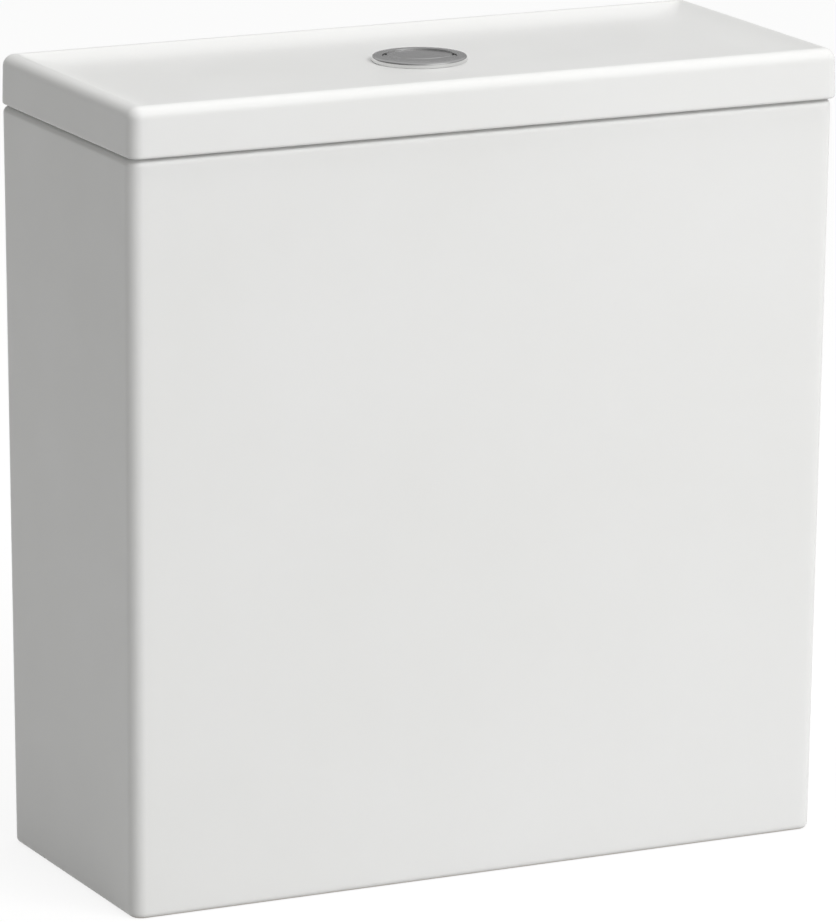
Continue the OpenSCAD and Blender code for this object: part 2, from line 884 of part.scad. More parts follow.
module fill_valve_cap() {
    ribs = 16;
    lug_in = arm_w / 2 + run_gap;
    color([0.36, 0.55, 0.78])
        fill_place()
            difference() {
                union() {
                    bar(cap_r, cap_z - diaphragm_t - cap_skirt, cap_z + cap_t - 2);
                    bar(cap_r - 2.5, cap_z + cap_t - 3, cap_z + cap_t);
                    bar(2.5, cap_z + cap_t - 1, pivot_z - arm_t / 2 - rest_gap);
                    for (i = [0 : ribs - 1])
                        rotate([0, 0, 360 * i / ribs])
                            translate([cap_r, 0, 0]) bar(0.8, cap_z - diaphragm_t - cap_skirt, cap_z + cap_t - 2);
                    for (s = [-1, 1])
                        upright(s * (lug_in + 1.5) - 1.5, s * (lug_in + 1.5) + 1.5) {
                            translate([pivot_x, pivot_z]) circle(4);
                            translate([pivot_x - 4, cap_z + cap_t - 1]) square([8, pivot_z - cap_z - cap_t + 1]);
                        }
                }
                bar(head_r + thread_gap, cap_z - diaphragm_t - cap_skirt - 1, cap_z);
                bar(1, cap_z - 1, pivot_z);
                translate([pivot_x, 0, pivot_z]) cross_bar(arm_pin_r + 0.02, -lug_in - 4, lug_in + 4);
            }
}

module silencer_tube() {
    color("white")
        fill_place()
            translate([0, spout_y, 0]) tube(spout_r + 1.5, spout_r + 0.2, floor_top + spout_clear, spout_z - spout_r - 0.5);
}

module float_arm() {
    color([0.36, 0.55, 0.78])
        arm_place()
            difference() {
                union() {
                    box([-tail_len, -arm_w / 2, -arm_t / 2], [arm_len, arm_w / 2, arm_t / 2]);
                    cross_bar(4, -arm_w / 2, arm_w / 2);
                    translate([arm_len, 0, 0]) bar(screw_r + 4, -arm_t / 2, arm_t / 2);
                }
                cross_bar(arm_pin_r + pin_play, -arm_w, arm_w);
                translate([arm_len, 0, 0]) bar(screw_r + thread_gap, -arm_t, arm_t);
            }
}

module float_arm_pin() {
    reach = arm_w / 2 + run_gap + 3;
    color(brass)
        fill_place()
            translate([pivot_x, 0, pivot_z]) cross_bar(arm_pin_r, -reach, reach);
}

module float_screw() {
    color(plastic)
        arm_place()
            translate([arm_len, 0, 0]) {
                bar(screw_r, cup_top - cup_h + 4, arm_t / 2 + screw_head_h);
                bar(screw_r + 3, arm_t / 2, arm_t / 2 + screw_head_h);
            }
}

module float_cup() {
    color("white")
        arm_place()
            translate([arm_len, 0, 0])
                difference() {
                    bar(cup_r, cup_top - cup_h, cup_top);
                    tube(cup_r - 2, screw_r + 3, cup_top - cup_h - 1, cup_top - 3);
                    bar(screw_r + thread_gap, cup_top - cup_h - 1, cup_top + 1);
                }
}

module fixing_bolts() {
    head_z = floor_top + cone_t + washer_t;
    color(brass)
        bolt_places() {
            bar(bolt_r, bolt_z, bolt_nut_z);
            bar(bolt_shank_r, bolt_nut_z - 1, head_z + 1);
            difference() {
                bar(bolt_r + 3, head_z, head_z + 5);
                box([-bolt_r - 4, -0.8, head_z + 3], [bolt_r + 4, 0.8, head_z + 6]);
            }
        }
}

module bolt_cone_washers() {
    color(rubber)
        bolt_places()
            difference() {
                union() {
                    bar(washer_r + 2, floor_top, floor_top + cone_t);
                    bar(bolt_hole_r - 0.2, floor_top - 5, floor_top + 1);
                }
                bar(bolt_shank_r + 0.1, floor_top - 6, floor_top + cone_t + 1);
            }
}

module bolt_washers() {
    color(brass)
        bolt_places() {
            tube(washer_r, bolt_shank_r + 0.2, floor_top + cone_t, floor_top + cone_t + washer_t);
            tube(washer_r, bolt_shank_r + 0.2, foot_h - washer_t, foot_h);
        }
}

module bolt_nuts() {
    color(brass)
        bolt_places()
            difference() {
                translate([0, 0, bolt_nut_z]) cylinder(r = 1.85 * bolt_r, h = bolt_nut_h, $fn = 6);
                bar(bolt_shank_r + thread_gap, bolt_nut_z - 1, foot_h);
            }
}

tank();
lid();
lid_pads();
button_bezel();
bezel_seal();
bezel_nut();
full_flush_button();
half_flush_button();
full_push_rod();
half_push_rod();
full_button_spring();
half_button_spring();
flush_valve_base();
valve_base_seal();
valve_back_nut();
coupling_gasket();
valve_tower();
overflow_tube();
flush_seal();
full_flush_lever();
half_flush_lever();
lever_pins();
half_flush_float();
half_flush_lift_rod();
fill_valve_body();
fill_valve_seal();
fill_back_nut();
inlet_filter();
fill_diaphragm();
fill_valve_cap();
silencer_tube();
float_arm();
float_arm_pin();
float_screw();
float_cup();
fixing_bolts();
bolt_cone_washers();
bolt_washers();
bolt_nuts();
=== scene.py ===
"""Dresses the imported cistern: glazed tank and lid, chrome push button, and the works inside."""
import json
import math

import bpy
import numpy as np
from mathutils import Matrix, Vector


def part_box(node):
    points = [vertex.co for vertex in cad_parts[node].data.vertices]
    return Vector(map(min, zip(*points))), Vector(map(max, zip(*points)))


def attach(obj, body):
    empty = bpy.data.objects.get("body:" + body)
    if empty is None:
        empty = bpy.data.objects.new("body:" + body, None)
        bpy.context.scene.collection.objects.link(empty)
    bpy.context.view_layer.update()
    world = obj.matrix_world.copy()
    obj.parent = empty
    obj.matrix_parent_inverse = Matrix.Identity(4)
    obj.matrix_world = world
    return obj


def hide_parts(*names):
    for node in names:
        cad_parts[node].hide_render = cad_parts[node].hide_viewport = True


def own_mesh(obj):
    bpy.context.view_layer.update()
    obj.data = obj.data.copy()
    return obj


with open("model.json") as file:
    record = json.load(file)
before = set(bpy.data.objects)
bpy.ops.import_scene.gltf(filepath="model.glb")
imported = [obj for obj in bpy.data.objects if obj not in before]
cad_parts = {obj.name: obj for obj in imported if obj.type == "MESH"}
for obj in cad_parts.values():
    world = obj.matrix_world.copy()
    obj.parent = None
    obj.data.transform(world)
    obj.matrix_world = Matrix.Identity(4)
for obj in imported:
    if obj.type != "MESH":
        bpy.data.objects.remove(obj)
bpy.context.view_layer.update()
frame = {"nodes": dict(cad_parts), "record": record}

MM = 0.001
TAU = 2 * math.pi
SHARP = math.radians(38)
EDGE_RUN = np.concatenate([[0.007], np.linspace(0.03, 0.97, 38), [0.993]])
ARC_ROOM = 0.46
FLAT_ROOM = 0.49
AXIS = (0.0, 0.0)
AXIS_R = 0.05


# Sizes, in millimetres, read from the frame's solids or repeated from their source

def span(node):
    """Low and high corner of a node's solid, in millimetres."""
    low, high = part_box(node)
    return np.array(low) / MM, np.array(high) / MM


TANK_LOW, TANK_HIGH = span("tank")
LID_LOW, LID_HIGH = span("lid")
BEZEL_LOW, BEZEL_HIGH = span("button_bezel")
PAD_LOW, PAD_HIGH = span("lid_pads")
CAP_LOW, CAP_HIGH = span("full_flush_button")
INLET_LOW, INLET_HIGH = span("fill_back_nut")
BOLT_LOW, BOLT_HIGH = span("bolt_nuts")

TANK_X, TANK_BACK, TANK_TOP = TANK_HIGH
TANK_FRONT = TANK_LOW[1]
SIDE_DRAFT = 2.7
FRONT_DRAFT = 8.7
WALL = 10.0
FLOOR_LOW = 42.0
FLOOR_TOP = 53.0
TANK_EDGE = 7.0
RIM_ROUND = 3.5
FOOT_ROUND = 3.0
INNER_ROUND = 10.0
OUTLET_HOLE = 31.0
INLET_HOLE = 11.5
BOLT_HOLE = 6.0
HANG_X, HANG_Z, HANG_R = 150.0, 318.0, 4.5
LID_REST = PAD_HIGH[2]
LID_X, _, LID_TOP = LID_HIGH
LID_DRAFT = 0.4
LID_EDGE = 6.5
LID_TOP_ROUND = 6.0
LID_FOOT_ROUND = 1.5
DISH_DEPTH = 5.0
DISH_SLOPE = 20.0
DISH_Z = LID_TOP - DISH_DEPTH
PLATE_Z = DISH_Z - 9.0
CREST = 1.0
LIP_DROP = 8.0
LIP_IN = 12.0
LIP_THICK = 6.0
LIP_ROUND = 6.0
VALVE_TURN = math.radians(-25.5)
BEZEL_R = 24.1
SHANK_R = 20.0
SHANK_BORE = 18.7
SHANK_PITCH = 2.5
NUT_BORE = 20.15
CAPS_R = 18.4
SPLIT_R = 17.9
SPLIT_V = 9.8
SPLIT_GAP = 0.5
CAP_SOFT = 0.25
NOTCH_R = 1.7
NOTCH_V = (CAPS_R ** 2 - SPLIT_R ** 2 + SPLIT_V ** 2) / (2 * SPLIT_V)
NOTCH_U = math.sqrt(CAPS_R ** 2 - NOTCH_V ** 2)
FULL_V = (CAPS_R + SPLIT_V - SPLIT_R) / 2
HALF_V = (SPLIT_V - SPLIT_R - CAPS_R) / 2
ROD_R, ROD_TIP, ROD_TOP = 3.0, 306.4, 404.0
COLLAR_R, COLLAR_LOW, COLLAR_HIGH = 4.5, 370.3, 374.3
SPRING_LOW, SPRING_HIGH, SPRING_PRESSED = 377.5, 401.5, 17.5
WASHER_TOP = 56.0
BASE_R, BASE_PITCH = 29.2, 3.0
SEAT_Z, SEAL_TOP = 65.2, 67.7
LEVER_U, LEVER_Z = 14.0, 300.0
HOOK_LOW, HOOK_TOP = 302.7, 308.7
FLOAT_LOW, FLOAT_TOP = 174.2, 212.2
FILL = tuple(((INLET_LOW + INLET_HIGH) / 2)[:2])
FILL_R, FILL_PITCH = 10.4, 1.814
SPOUT_REACH = 25.0
DISC_LOW, DISC_TOP = 246.0, 248.0
ARM_X, ARM_Z = FILL[0] + 10.0, 264.0
ARM_DROOP = math.radians(12.0)
CUP_AT = (38.0, 0.0)
STUD_R, STUD_PITCH = 4.0, 1.25
HEAD_R, SLOT_HALF = 7.0, 0.8
NUT_R, NUT_LOW, NUT_TOP = 7.4, 34.1, 40.5
BOLT_X = (BOLT_HIGH[0] - BOLT_LOW[0]) / 2 - NUT_R
BOLTS = ((-BOLT_X, 0.0), (BOLT_X, 0.0))


# Shapes: each is an array of points and a list of face arrays, in millimetres

def unit(vectors):
    """Vectors divided by their lengths."""
    return vectors / np.linalg.norm(vectors, axis=-1, keepdims=True)


def lifted(plan, z):
    """Flat rings with a height for each ring."""
    return np.concatenate([plan, np.broadcast_to(z[:, None, None], plan.shape[:2] + (1,))], -1)


def grid_faces(rows, cols, wrap_rows=False, wrap_cols=True):
    """Four-cornered faces of a grid: each takes a point, its neighbour along the row and the two above."""
    i = np.arange(rows if wrap_rows else rows - 1)[:, None]
    j = np.arange(cols if wrap_cols else cols - 1)[None, :]
    i2, j2 = (i + 1) % rows, (j + 1) % cols
    return np.stack([i * cols + j, i * cols + j2, i2 * cols + j2, i2 * cols + j], -1).reshape(-1, 4)


def skin(points, closed=False):
    """Closed rings joined by faces: the last ring joins the first, or both ends get a cap."""
    rows, cols = points.shape[:2]
    faces = [grid_faces(rows, cols, closed)]
    if not closed:
        faces += [np.arange(cols)[::-1][None, :], (rows - 1) * cols + np.arange(cols)[None, :]]
    return points.reshape(-1, 3), faces


def rect_rings(x0, x1, y0, y1, r, z, corner=10):
    """Rounded rectangles, one for each level: quarter arcs about the corner centres, with straight runs."""
    sides = (x0, x1, y0, y1, r, z)
    x0, x1, y0, y1, r, z = np.broadcast_arrays(*[np.atleast_1d(np.asarray(v, float)) for v in sides])
    turn = (np.arange(4)[:, None] + np.linspace(0, 1, corner + 1)[None, :]) * (math.pi / 2)
    cx = np.stack([x1 - r, x0 + r, x0 + r, x1 - r], 1)[:, :, None]
    cy = np.stack([y1 - r, y1 - r, y0 + r, y0 + r], 1)[:, :, None]
    reach = r[:, None, None]
    arc = np.stack([cx + reach * np.cos(turn), cy + reach * np.sin(turn)], -1)
    start, end = arc[:, :, -1:, :], np.roll(arc[:, :, :1, :], -1, axis=1)
    run = start + (end - start) * EDGE_RUN[None, None, :, None]
    return lifted(np.concatenate([arc, run], 2).reshape(len(r), -1, 2), z)


def quarter(steps=8):
    """A quarter round as shares of its radius: how far it is drawn in, and how far it has risen."""
    a = np.linspace(0, math.pi / 2, steps + 1)
    return 1 - np.sin(a), 1 - np.cos(a)


def through_hole(like, r, soft, top, low, wide):
    """Circles from a flat down through a round hole and out under it, with both edges rounded; their points
    lie at the same bearings as those of another ring."""
    into, up = quarter()
    edge = np.concatenate([[wide, r + soft + 0.5], r + soft * into])
    above = np.concatenate([[top, top], top - soft * up])
    below = np.concatenate([[low, low], low + soft * up])
    plan = unit(like[:, :2])[None] * np.concatenate([edge, edge[::-1]])[:, None, None]
    return lifted(plan, np.concatenate([above, below[::-1]]))


def soften(corners, radii, steps=6, closed=True):
    """A profile with its corners replaced by arcs that touch both sides; a point just outside each end of
    an arc keeps the flats flat."""
    p = np.asarray(corners, float)
    r = np.broadcast_to(np.asarray(radii, float), len(p))
    to_prev, to_next = np.roll(p, 1, axis=0) - p, np.roll(p, -1, axis=0) - p
    room = np.minimum(np.linalg.norm(to_prev, axis=1), np.linalg.norm(to_next, axis=1))
    d1, d2 = unit(to_prev), unit(to_next)
    half = np.arccos(np.clip((d1 * d2).sum(1), -0.9999, 0.9999)) / 2
    reach = np.minimum(r / np.tan(half), ARC_ROOM * room)
    r = reach * np.tan(half)
    centre = p + unit(d1 + d2) * (r / np.sin(half))[:, None]
    v1, v2 = p + d1 * reach[:, None] - centre, p + d2 * reach[:, None] - centre
    turn = (math.pi - 2 * half)[:, None]
    t = np.linspace(0, 1, steps + 1)[None, :]
    w1, w2 = np.sin((1 - t) * turn) / np.sin(turn), np.sin(t * turn) / np.sin(turn)
    arc = centre[:, None, :] + w1[..., None] * v1[:, None, :] + w2[..., None] * v2[:, None, :]
    spare = np.minimum(np.minimum(0.06 * room, 0.5 * reach + 0.05), FLAT_ROOM * room - reach)
    before, after = ((p + d * (reach + spare)[:, None])[:, None, :] for d in (d1, d2))
    line = np.concatenate([before, arc, after], 1)
    if not closed:
        line[0], line[-1] = p[0], p[-1]
    return line.reshape(-1, 2)


def dense(line, step, closed=True, low=-1e6, high=1e6):
    """A profile with points added at equal steps of its length between two levels, its own points kept."""
    ends = np.concatenate([line, line[:1]]) if closed else line
    along = np.concatenate([[0], np.cumsum(np.linalg.norm(np.diff(ends, axis=0), axis=1))])
    more = np.arange(0, along[-1], step)
    level = np.interp(more, along, ends[:, 1])
    at = np.unique(np.round(np.concatenate([along, more[(level >= low) & (level <= high)]]), 4))
    if closed:
        at = at[:-1]
    return np.stack([np.interp(at, along, ends[:, k]) for k in range(2)], -1)


def turned_rings(profile, centre, segs, ripple):
    """Circles about an upright axis, one for each radius and height of a profile; ripple adds to the radius
    by bearing, radius and height."""
    bearing = np.linspace(0, TAU, segs, endpoint=False)[None, :]
    r, z = (np.broadcast_to(profile[:, k:k + 1], (len(profile), segs)) for k in (0, 1))
    if ripple is not None:
        r = r + ripple(bearing, r, z)
    return np.stack([centre[0] + r * np.cos(bearing), centre[1] + r * np.sin(bearing), z], -1)


def lathe(profile, centre=AXIS, segs=96, ripple=None):
    """A ring: a closed profile of radius and height turned round an upright axis."""
    return skin(turned_rings(profile, centre, segs, ripple), closed=True)


def spindle(profile, centre=AXIS, segs=48, ripple=None):
    """A solid bar: an open profile, from axis to axis, turned round an upright axis."""
    return skin(turned_rings(profile, centre, segs, ripple))


def bar_line(corners, radii, from_axis=True):
    """Open profile of a bar that ends on its axis: corners rounded and repeated points dropped."""
    start = [(AXIS_R, corners[0][1])] if from_axis else []
    end = [(AXIS_R, corners[-1][1])]
    line = soften(start + corners + end, [0.1] * len(start) + radii + [0.1], steps=4, closed=False)
    return line[np.concatenate([[True], np.abs(np.diff(line, axis=0)).max(1) > 1e-4])]


def plate(outline, low, high, soft=0.5):
    """A flat shape with thickness: its outline carried between two levels and drawn in along its normals
    over two rounded edges."""
    line = np.asarray(outline, float)
    ahead = np.roll(line, -1, axis=0) - line
    out = unit(np.stack([ahead[:, 1], -ahead[:, 0]], -1))
    out = unit(out + np.roll(out, 1, axis=0))
    into, up = quarter(4)
    draw = soft * np.concatenate([[1.6], into, into[::-1], [1.6]])
    z = np.concatenate([[low], low + soft * up, high - soft * up[::-1], [high]])
    return skin(lifted(line[None] - draw[:, None, None] * out[None], z))


def block(low, high, edge=1.0, soft=0.5):
    """A bar with rounded edges between two corners: a rounded rectangle given thickness."""
    (x0, y0, z0), (x1, y1, z1) = low, high
    return plate(soften([(x0, y0), (x1, y0), (x1, y1), (x0, y1)], edge, steps=4), z0, z1, soft)


def plug(centre, r, low, high, lying=False):
    """A closed round bar between two levels, upright or lying from front to back, used to cut a bore."""
    a = np.linspace(0, TAU, 48, endpoint=False)
    ring = np.stack([r * np.cos(a), r * np.sin(a)], -1)
    bar = lifted(np.broadcast_to(ring, (2, len(a), 2)), np.array([low, high], float))
    return skin((bar[..., [1, 2, 0]] if lying else bar) + np.array(centre))


def moved(patch, place):
    """The same patch shifted by a distance along each axis."""
    return patch[0] + np.asarray(place, float), patch[1]


def stood_up(patch, v):
    """A plate drawn across and up, turned to stand with its thickness running forward from v."""
    a, b, c = np.moveaxis(patch[0], -1, 0)
    return np.stack([a, v - c, b], -1), patch[1]


def laid_back(patch):
    """An upright bar turned to lie along the second axis."""
    a, b, c = np.moveaxis(patch[0], -1, 0)
    return np.stack([a, c, -b], -1), patch[1]


def put(name, *patches):
    """Puts patches into one mesh object at the origin, smooth except where faces meet at a sharp angle."""
    points, corners, sizes, first = [], [], [], 0
    for verts, faces in patches:
        points.append(verts)
        corners += [f.ravel() + first for f in faces]
        sizes += [np.full(len(f), f.shape[1]) for f in faces]
        first += len(verts)
    points, corners, sizes = np.concatenate(points), np.concatenate(corners), np.concatenate(sizes)
    mesh = bpy.data.meshes.new(name)
    mesh.vertices.add(len(points))
    mesh.vertices.foreach_set("co", (points * MM).astype(np.float32).ravel())
    mesh.loops.add(len(corners))
    mesh.loops.foreach_set("vertex_index", corners.astype(np.int32))
    mesh.polygons.add(len(sizes))
    mesh.polygons.foreach_set("loop_start", (np.cumsum(sizes) - sizes).astype(np.int32))
    mesh.update(calc_edges=True)
    mesh.validate()
    mesh.polygons.foreach_set("use_smooth", np.ones(len(mesh.polygons), bool))
    mesh.set_sharp_from_angle(angle=SHARP)
    obj = bpy.data.objects.new(name, mesh)
    bpy.context.scene.collection.objects.link(obj)
    return obj


def bore(obj, *tools):
    """Cuts closed patches out of a piece and keeps the result as its mesh."""
    cutter = put(obj.name + "_cutter", *tools)
    cut = obj.modifiers.new("bores", "BOOLEAN")
    cut.operation, cut.solver, cut.object = "DIFFERENCE", "EXACT", cutter
    bpy.context.view_layer.update()
    mesh = bpy.data.meshes.new_from_object(obj.evaluated_get(bpy.context.evaluated_depsgraph_get()))
    obj.modifiers.clear()
    old, obj.data = obj.data, mesh
    bpy.data.meshes.remove(old)
    spare = cutter.data
    bpy.data.objects.remove(cutter)
    bpy.data.meshes.remove(spare)
    mesh.name = obj.name
    mesh.set_sharp_from_angle(angle=SHARP)
    return obj


# Nodes of the finishes

def link_inputs(tree, node, links):
    """Gives each named input of a node an output socket or a plain value."""
    for key, value in links.items():
        if isinstance(value, bpy.types.NodeSocket):
            tree.links.new(value, node.inputs[key])
        else:
            node.inputs[key].default_value = value
    return node


def add(tree, kind, links=None, **settings):
    """Adds a node, sets its properties and links its inputs."""
    node = tree.nodes.new("ShaderNode" + kind)
    for key, value in settings.items():
        setattr(node, key, value)
    return link_inputs(tree, node, links or {})


def reckon(tree, operation, a, b):
    """One sum on two values."""
    return add(tree, "Math", {0: a, 1: b}, operation=operation).outputs[0]


def noise(tree, vector, scale, detail, rough=0.5):
    """Value of a noise over a surface."""
    links = {"Vector": vector, "Scale": scale, "Detail": detail, "Roughness": rough}
    return add(tree, "TexNoise", links).outputs["Fac"]


def remap(tree, value, low, high, to_low=0.0, to_high=1.0, ease="LINEAR"):
    """A value's run between two limits carried to two other limits."""
    links = {"Value": value, "From Min": low, "From Max": high, "To Min": to_low, "To Max": to_high}
    return add(tree, "MapRange", links, interpolation_type=ease).outputs["Result"]


def tint(tree, share, a, b, mode="MIX"):
    """Two colours put together by a share."""
    return add(tree, "Mix", {"Factor": share, 6: a, 7: b}, data_type="RGBA", blend_type=mode).outputs[2]


# Shader groups that several finishes share

def new_group(name, inputs, outputs):
    """An empty shader group with named sockets; returns it with what comes in and its output node."""
    tree = bpy.data.node_groups.new(name, "ShaderNodeTree")
    for label, kind, value in inputs:
        socket = tree.interface.new_socket(label, in_out="INPUT", socket_type="NodeSocket" + kind)
        if value is not None:
            socket.default_value = value
    for label, kind in outputs:
        tree.interface.new_socket(label, in_out="OUTPUT", socket_type="NodeSocket" + kind)
    return tree, tree.nodes.new("NodeGroupInput").outputs, tree.nodes.new("NodeGroupOutput")


def make_drift():
    """Slow change of colour and gloss over a surface: a broad noise for tone and a finer one for gloss."""
    tree, given, out = new_group(
        "tone_drift",
        [("Vector", "Vector", None), ("Tone A", "Color", (1, 1, 1, 1)), ("Tone B", "Color", (1, 1, 1, 1)),
         ("Scale", "Float", 10.0), ("Gloss Low", "Float", 0.1), ("Gloss High", "Float", 0.2)],
        [("Color", "Color"), ("Roughness", "Float")])
    broad = noise(tree, given["Vector"], given["Scale"], 4.0, 0.55)
    tone = tint(tree, remap(tree, broad, 0.3, 0.7), given["Tone A"], given["Tone B"])
    fine = noise(tree, given["Vector"], reckon(tree, "MULTIPLY", given["Scale"], 4.3), 6.0, 0.6)
    gloss = remap(tree, fine, 0.3, 0.7, given["Gloss Low"], given["Gloss High"])
    link_inputs(tree, out, {"Color": tone, "Roughness": gloss})
    return tree


def make_grain():
    """Height of a moulded or fired skin: long soft waves with a share of fine grain over them."""
    tree, given, out = new_group(
        "skin_grain",
        [("Vector", "Vector", None), ("Wave Scale", "Float", 40.0), ("Grain Scale", "Float", 900.0),
         ("Grain Share", "Float", 0.2)],
        [("Height", "Float")])
    wave = noise(tree, given["Vector"], given["Wave Scale"], 2.0, 0.4)
    grain = noise(tree, given["Vector"], given["Grain Scale"], 3.0, 0.6)
    both = add(tree, "Mix", {"Factor": given["Grain Share"], 2: wave, 3: grain})
    link_inputs(tree, out, {"Height": both.outputs[0]})
    return tree


def make_band():
    """Mask that is one below a level and fades to nothing over a soft, slightly wavering edge."""
    tree, given, out = new_group(
        "low_band",
        [("Vector", "Vector", None), ("Level", "Float", 0.0), ("Soft", "Float", 0.001),
         ("Waver", "Float", 0.0005)],
        [("Mask", "Float")])
    height = add(tree, "SeparateXYZ", {"Vector": given["Vector"]}).outputs["Z"]
    sway = reckon(tree, "MULTIPLY", noise(tree, given["Vector"], 60.0, 3.0), given["Waver"])
    top = reckon(tree, "ADD", given["Level"], given["Soft"])
    mask = remap(tree, reckon(tree, "ADD", height, sway), given["Level"], top, 1.0, 0.0, "SMOOTHSTEP")
    link_inputs(tree, out, {"Mask": mask})
    return tree


DRIFT, GRAIN, BAND = make_drift(), make_grain(), make_band()


# Finishes

def new_finish(name, tones, scale, gloss, **constants):
    """A material whose constant sockets are set and whose colour and gloss drift; returns it with its tree,
    shader, drift and Object coordinates."""
    mat = bpy.data.materials.new(name)
    mat.use_nodes = True
    tree = mat.node_tree
    shader = tree.nodes["Principled BSDF"]
    for key, value in constants.items():
        shader.inputs[key.replace("_", " ")].default_value = value
    coords = add(tree, "TexCoord").outputs["Object"]
    links = {"Vector": coords, "Tone A": tones[0] + (1,), "Tone B": tones[1] + (1,), "Scale": scale,
             "Gloss Low": gloss[0], "Gloss High": gloss[1]}
    drift = add(tree, "Group", links, node_tree=DRIFT).outputs
    link_inputs(tree, shader, {"Base Color": drift["Color"], "Roughness": drift["Roughness"]})
    return mat, tree, shader, drift, coords


def grain_height(tree, coords, wave, grain, share):
    """Height of the shared skin grain at a finish's own scales."""
    links = {"Vector": coords, "Wave Scale": wave, "Grain Scale": grain, "Grain Share": share}
    return add(tree, "Group", links, node_tree=GRAIN).outputs["Height"]


def raise_skin(tree, shader, height, distance):
    """Links a height to the shader's normal through a bump of that depth in metres."""
    bump = add(tree, "Bump", {"Height": height, "Distance": distance, "Strength": 1.0})
    tree.links.new(bump.outputs["Normal"], shader.inputs["Normal"])


def glazed_china(name, bare_level):
    """White vitreous china: clear glaze with faint waves and tone drift, and bare biscuit below the level
    where it was set down to fire."""
    mat, tree, shader, drift, coords = new_finish(
        name, ((0.83, 0.83, 0.82), (0.85, 0.85, 0.845)), 7.0, (0.28, 0.36), IOR=1.5, Specular_IOR_Level=0.3)
    links = {"Vector": coords, "Level": bare_level, "Soft": 0.0012, "Waver": 0.0006}
    band = add(tree, "Group", links, node_tree=BAND).outputs["Mask"]
    speck = add(tree, "TexVoronoi", {"Vector": coords, "Scale": 900.0}, feature="F1").outputs["Distance"]
    dots = remap(tree, speck, 0.05, 0.2, 0.93, 1.0)
    bare = tint(tree, 1.0, (0.78, 0.74, 0.68, 1), dots, "MULTIPLY")
    gloss = add(tree, "Mix", {"Factor": band, 2: drift["Roughness"], 3: 0.8}).outputs[0]
    link_inputs(tree, shader, {"Base Color": tint(tree, band, drift["Color"], bare), "Roughness": gloss})
    raise_skin(tree, shader, grain_height(tree, coords, 26.0, 420.0, 0.04), 0.00022)
    return mat


def chrome_plate(name):
    """Bright chromium plate: mirror metal with fine rub marks that change its gloss, and a trace of
    waviness from the moulding under it."""
    mat, tree, shader, _, coords = new_finish(
        name, ((0.77, 0.77, 0.77), (0.82, 0.82, 0.815)), 60.0, (0.14, 0.2), Metallic=1.0)
    raise_skin(tree, shader, grain_height(tree, coords, 90.0, 2600.0, 0.08), 0.00006)
    return mat


def moulded_plastic(name, *tones):
    """Satin moulding: faint flow marks in tone and gloss, and the fine sparked skin of the mould."""
    mat, tree, shader, _, coords = new_finish(name, tones, 24.0, (0.3, 0.42), IOR=1.49)
    raise_skin(tree, shader, grain_height(tree, coords, 70.0, 2200.0, 0.35), 0.00012)
    return mat


def rubber_skin(name, tones, gloss, cell_scale, depth):
    """Moulded rubber or foam: dull, with a dusty bloom in its tone and a close pebbled skin."""
    mat, tree, shader, _, coords = new_finish(name, tones, 45.0, gloss, IOR=1.5)
    cells = add(tree, "TexVoronoi", {"Vector": coords, "Scale": cell_scale}, feature="F1")
    raise_skin(tree, shader, cells.outputs["Distance"], depth)
    return mat


def drawn_metal(name, tones, gloss):
    """Turned or drawn metal: tool lines round the axis, as close bands of height, over a drifting tone."""
    mat, tree, shader, _, coords = new_finish(name, tones, 90.0, gloss, Metallic=1.0)
    links = {"Vector": coords, "Scale": 900.0, "Distortion": 2.0, "Detail": 2.0}
    lines = add(tree, "TexWave", links, bands_direction="Z")
    raise_skin(tree, shader, lines.outputs["Fac"], 0.00002)
    return mat


LID_GLAZE = glazed_china("lid_glaze", (LID_REST - LIP_DROP + 1.0) * MM)
FINISHES = {
    "china": glazed_china("tank_glaze", 0.0008),
    "chrome": chrome_plate("chrome_plate"),
    "white_plastic": moulded_plastic("white_moulding", (0.80, 0.81, 0.81), (0.84, 0.85, 0.85)),
    "blue_plastic": moulded_plastic("blue_moulding", (0.10, 0.25, 0.50), (0.13, 0.29, 0.55)),
    "green_plastic": moulded_plastic("green_moulding", (0.13, 0.37, 0.20), (0.16, 0.42, 0.23)),
    "filter_plastic": moulded_plastic("filter_moulding", (0.45, 0.62, 0.74), (0.52, 0.68, 0.78)),
    "black_rubber": rubber_skin("black_rubber", ((0.018, 0.018, 0.02), (0.035, 0.035, 0.036)),
                                (0.5, 0.68), 1400.0, 0.00008),
    "foam_rubber": rubber_skin("foam_rubber", ((0.022, 0.022, 0.024), (0.045, 0.045, 0.046)),
                               (0.75, 0.92), 520.0, 0.0005),
    "clear_silicone": rubber_skin("clear_silicone", ((0.66, 0.68, 0.69), (0.72, 0.74, 0.75)),
                                  (0.3, 0.42), 900.0, 0.00005),
    "spring_steel": drawn_metal("spring_steel", ((0.52, 0.52, 0.54), (0.60, 0.60, 0.62)), (0.2, 0.32)),
    "brass": drawn_metal("machined_brass", ((0.62, 0.46, 0.18), (0.72, 0.55, 0.25)), (0.2, 0.34)),
}
SLOT = {part["node"]: part["material_slot"] for part in frame["record"]["subparts"]}
BODY = {node: body for body, nodes in frame["record"]["behaviour"]["bodies"].items() for node in nodes}


def dress(obj, node, finish=None, stands=True):
    """Gives a piece its node's body, and the finish of that node's slot or another; it stands for the node
    unless another piece does."""
    obj.data.materials.clear()
    obj.data.materials.append(finish or FINISHES[SLOT[node]])
    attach(obj, BODY[node])
    if stands:
        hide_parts(node)
    return obj


def piece(name, node, *patches):
    """Puts patches together as the piece that stands for a node."""
    return dress(put(name, *patches), node)


# Tank

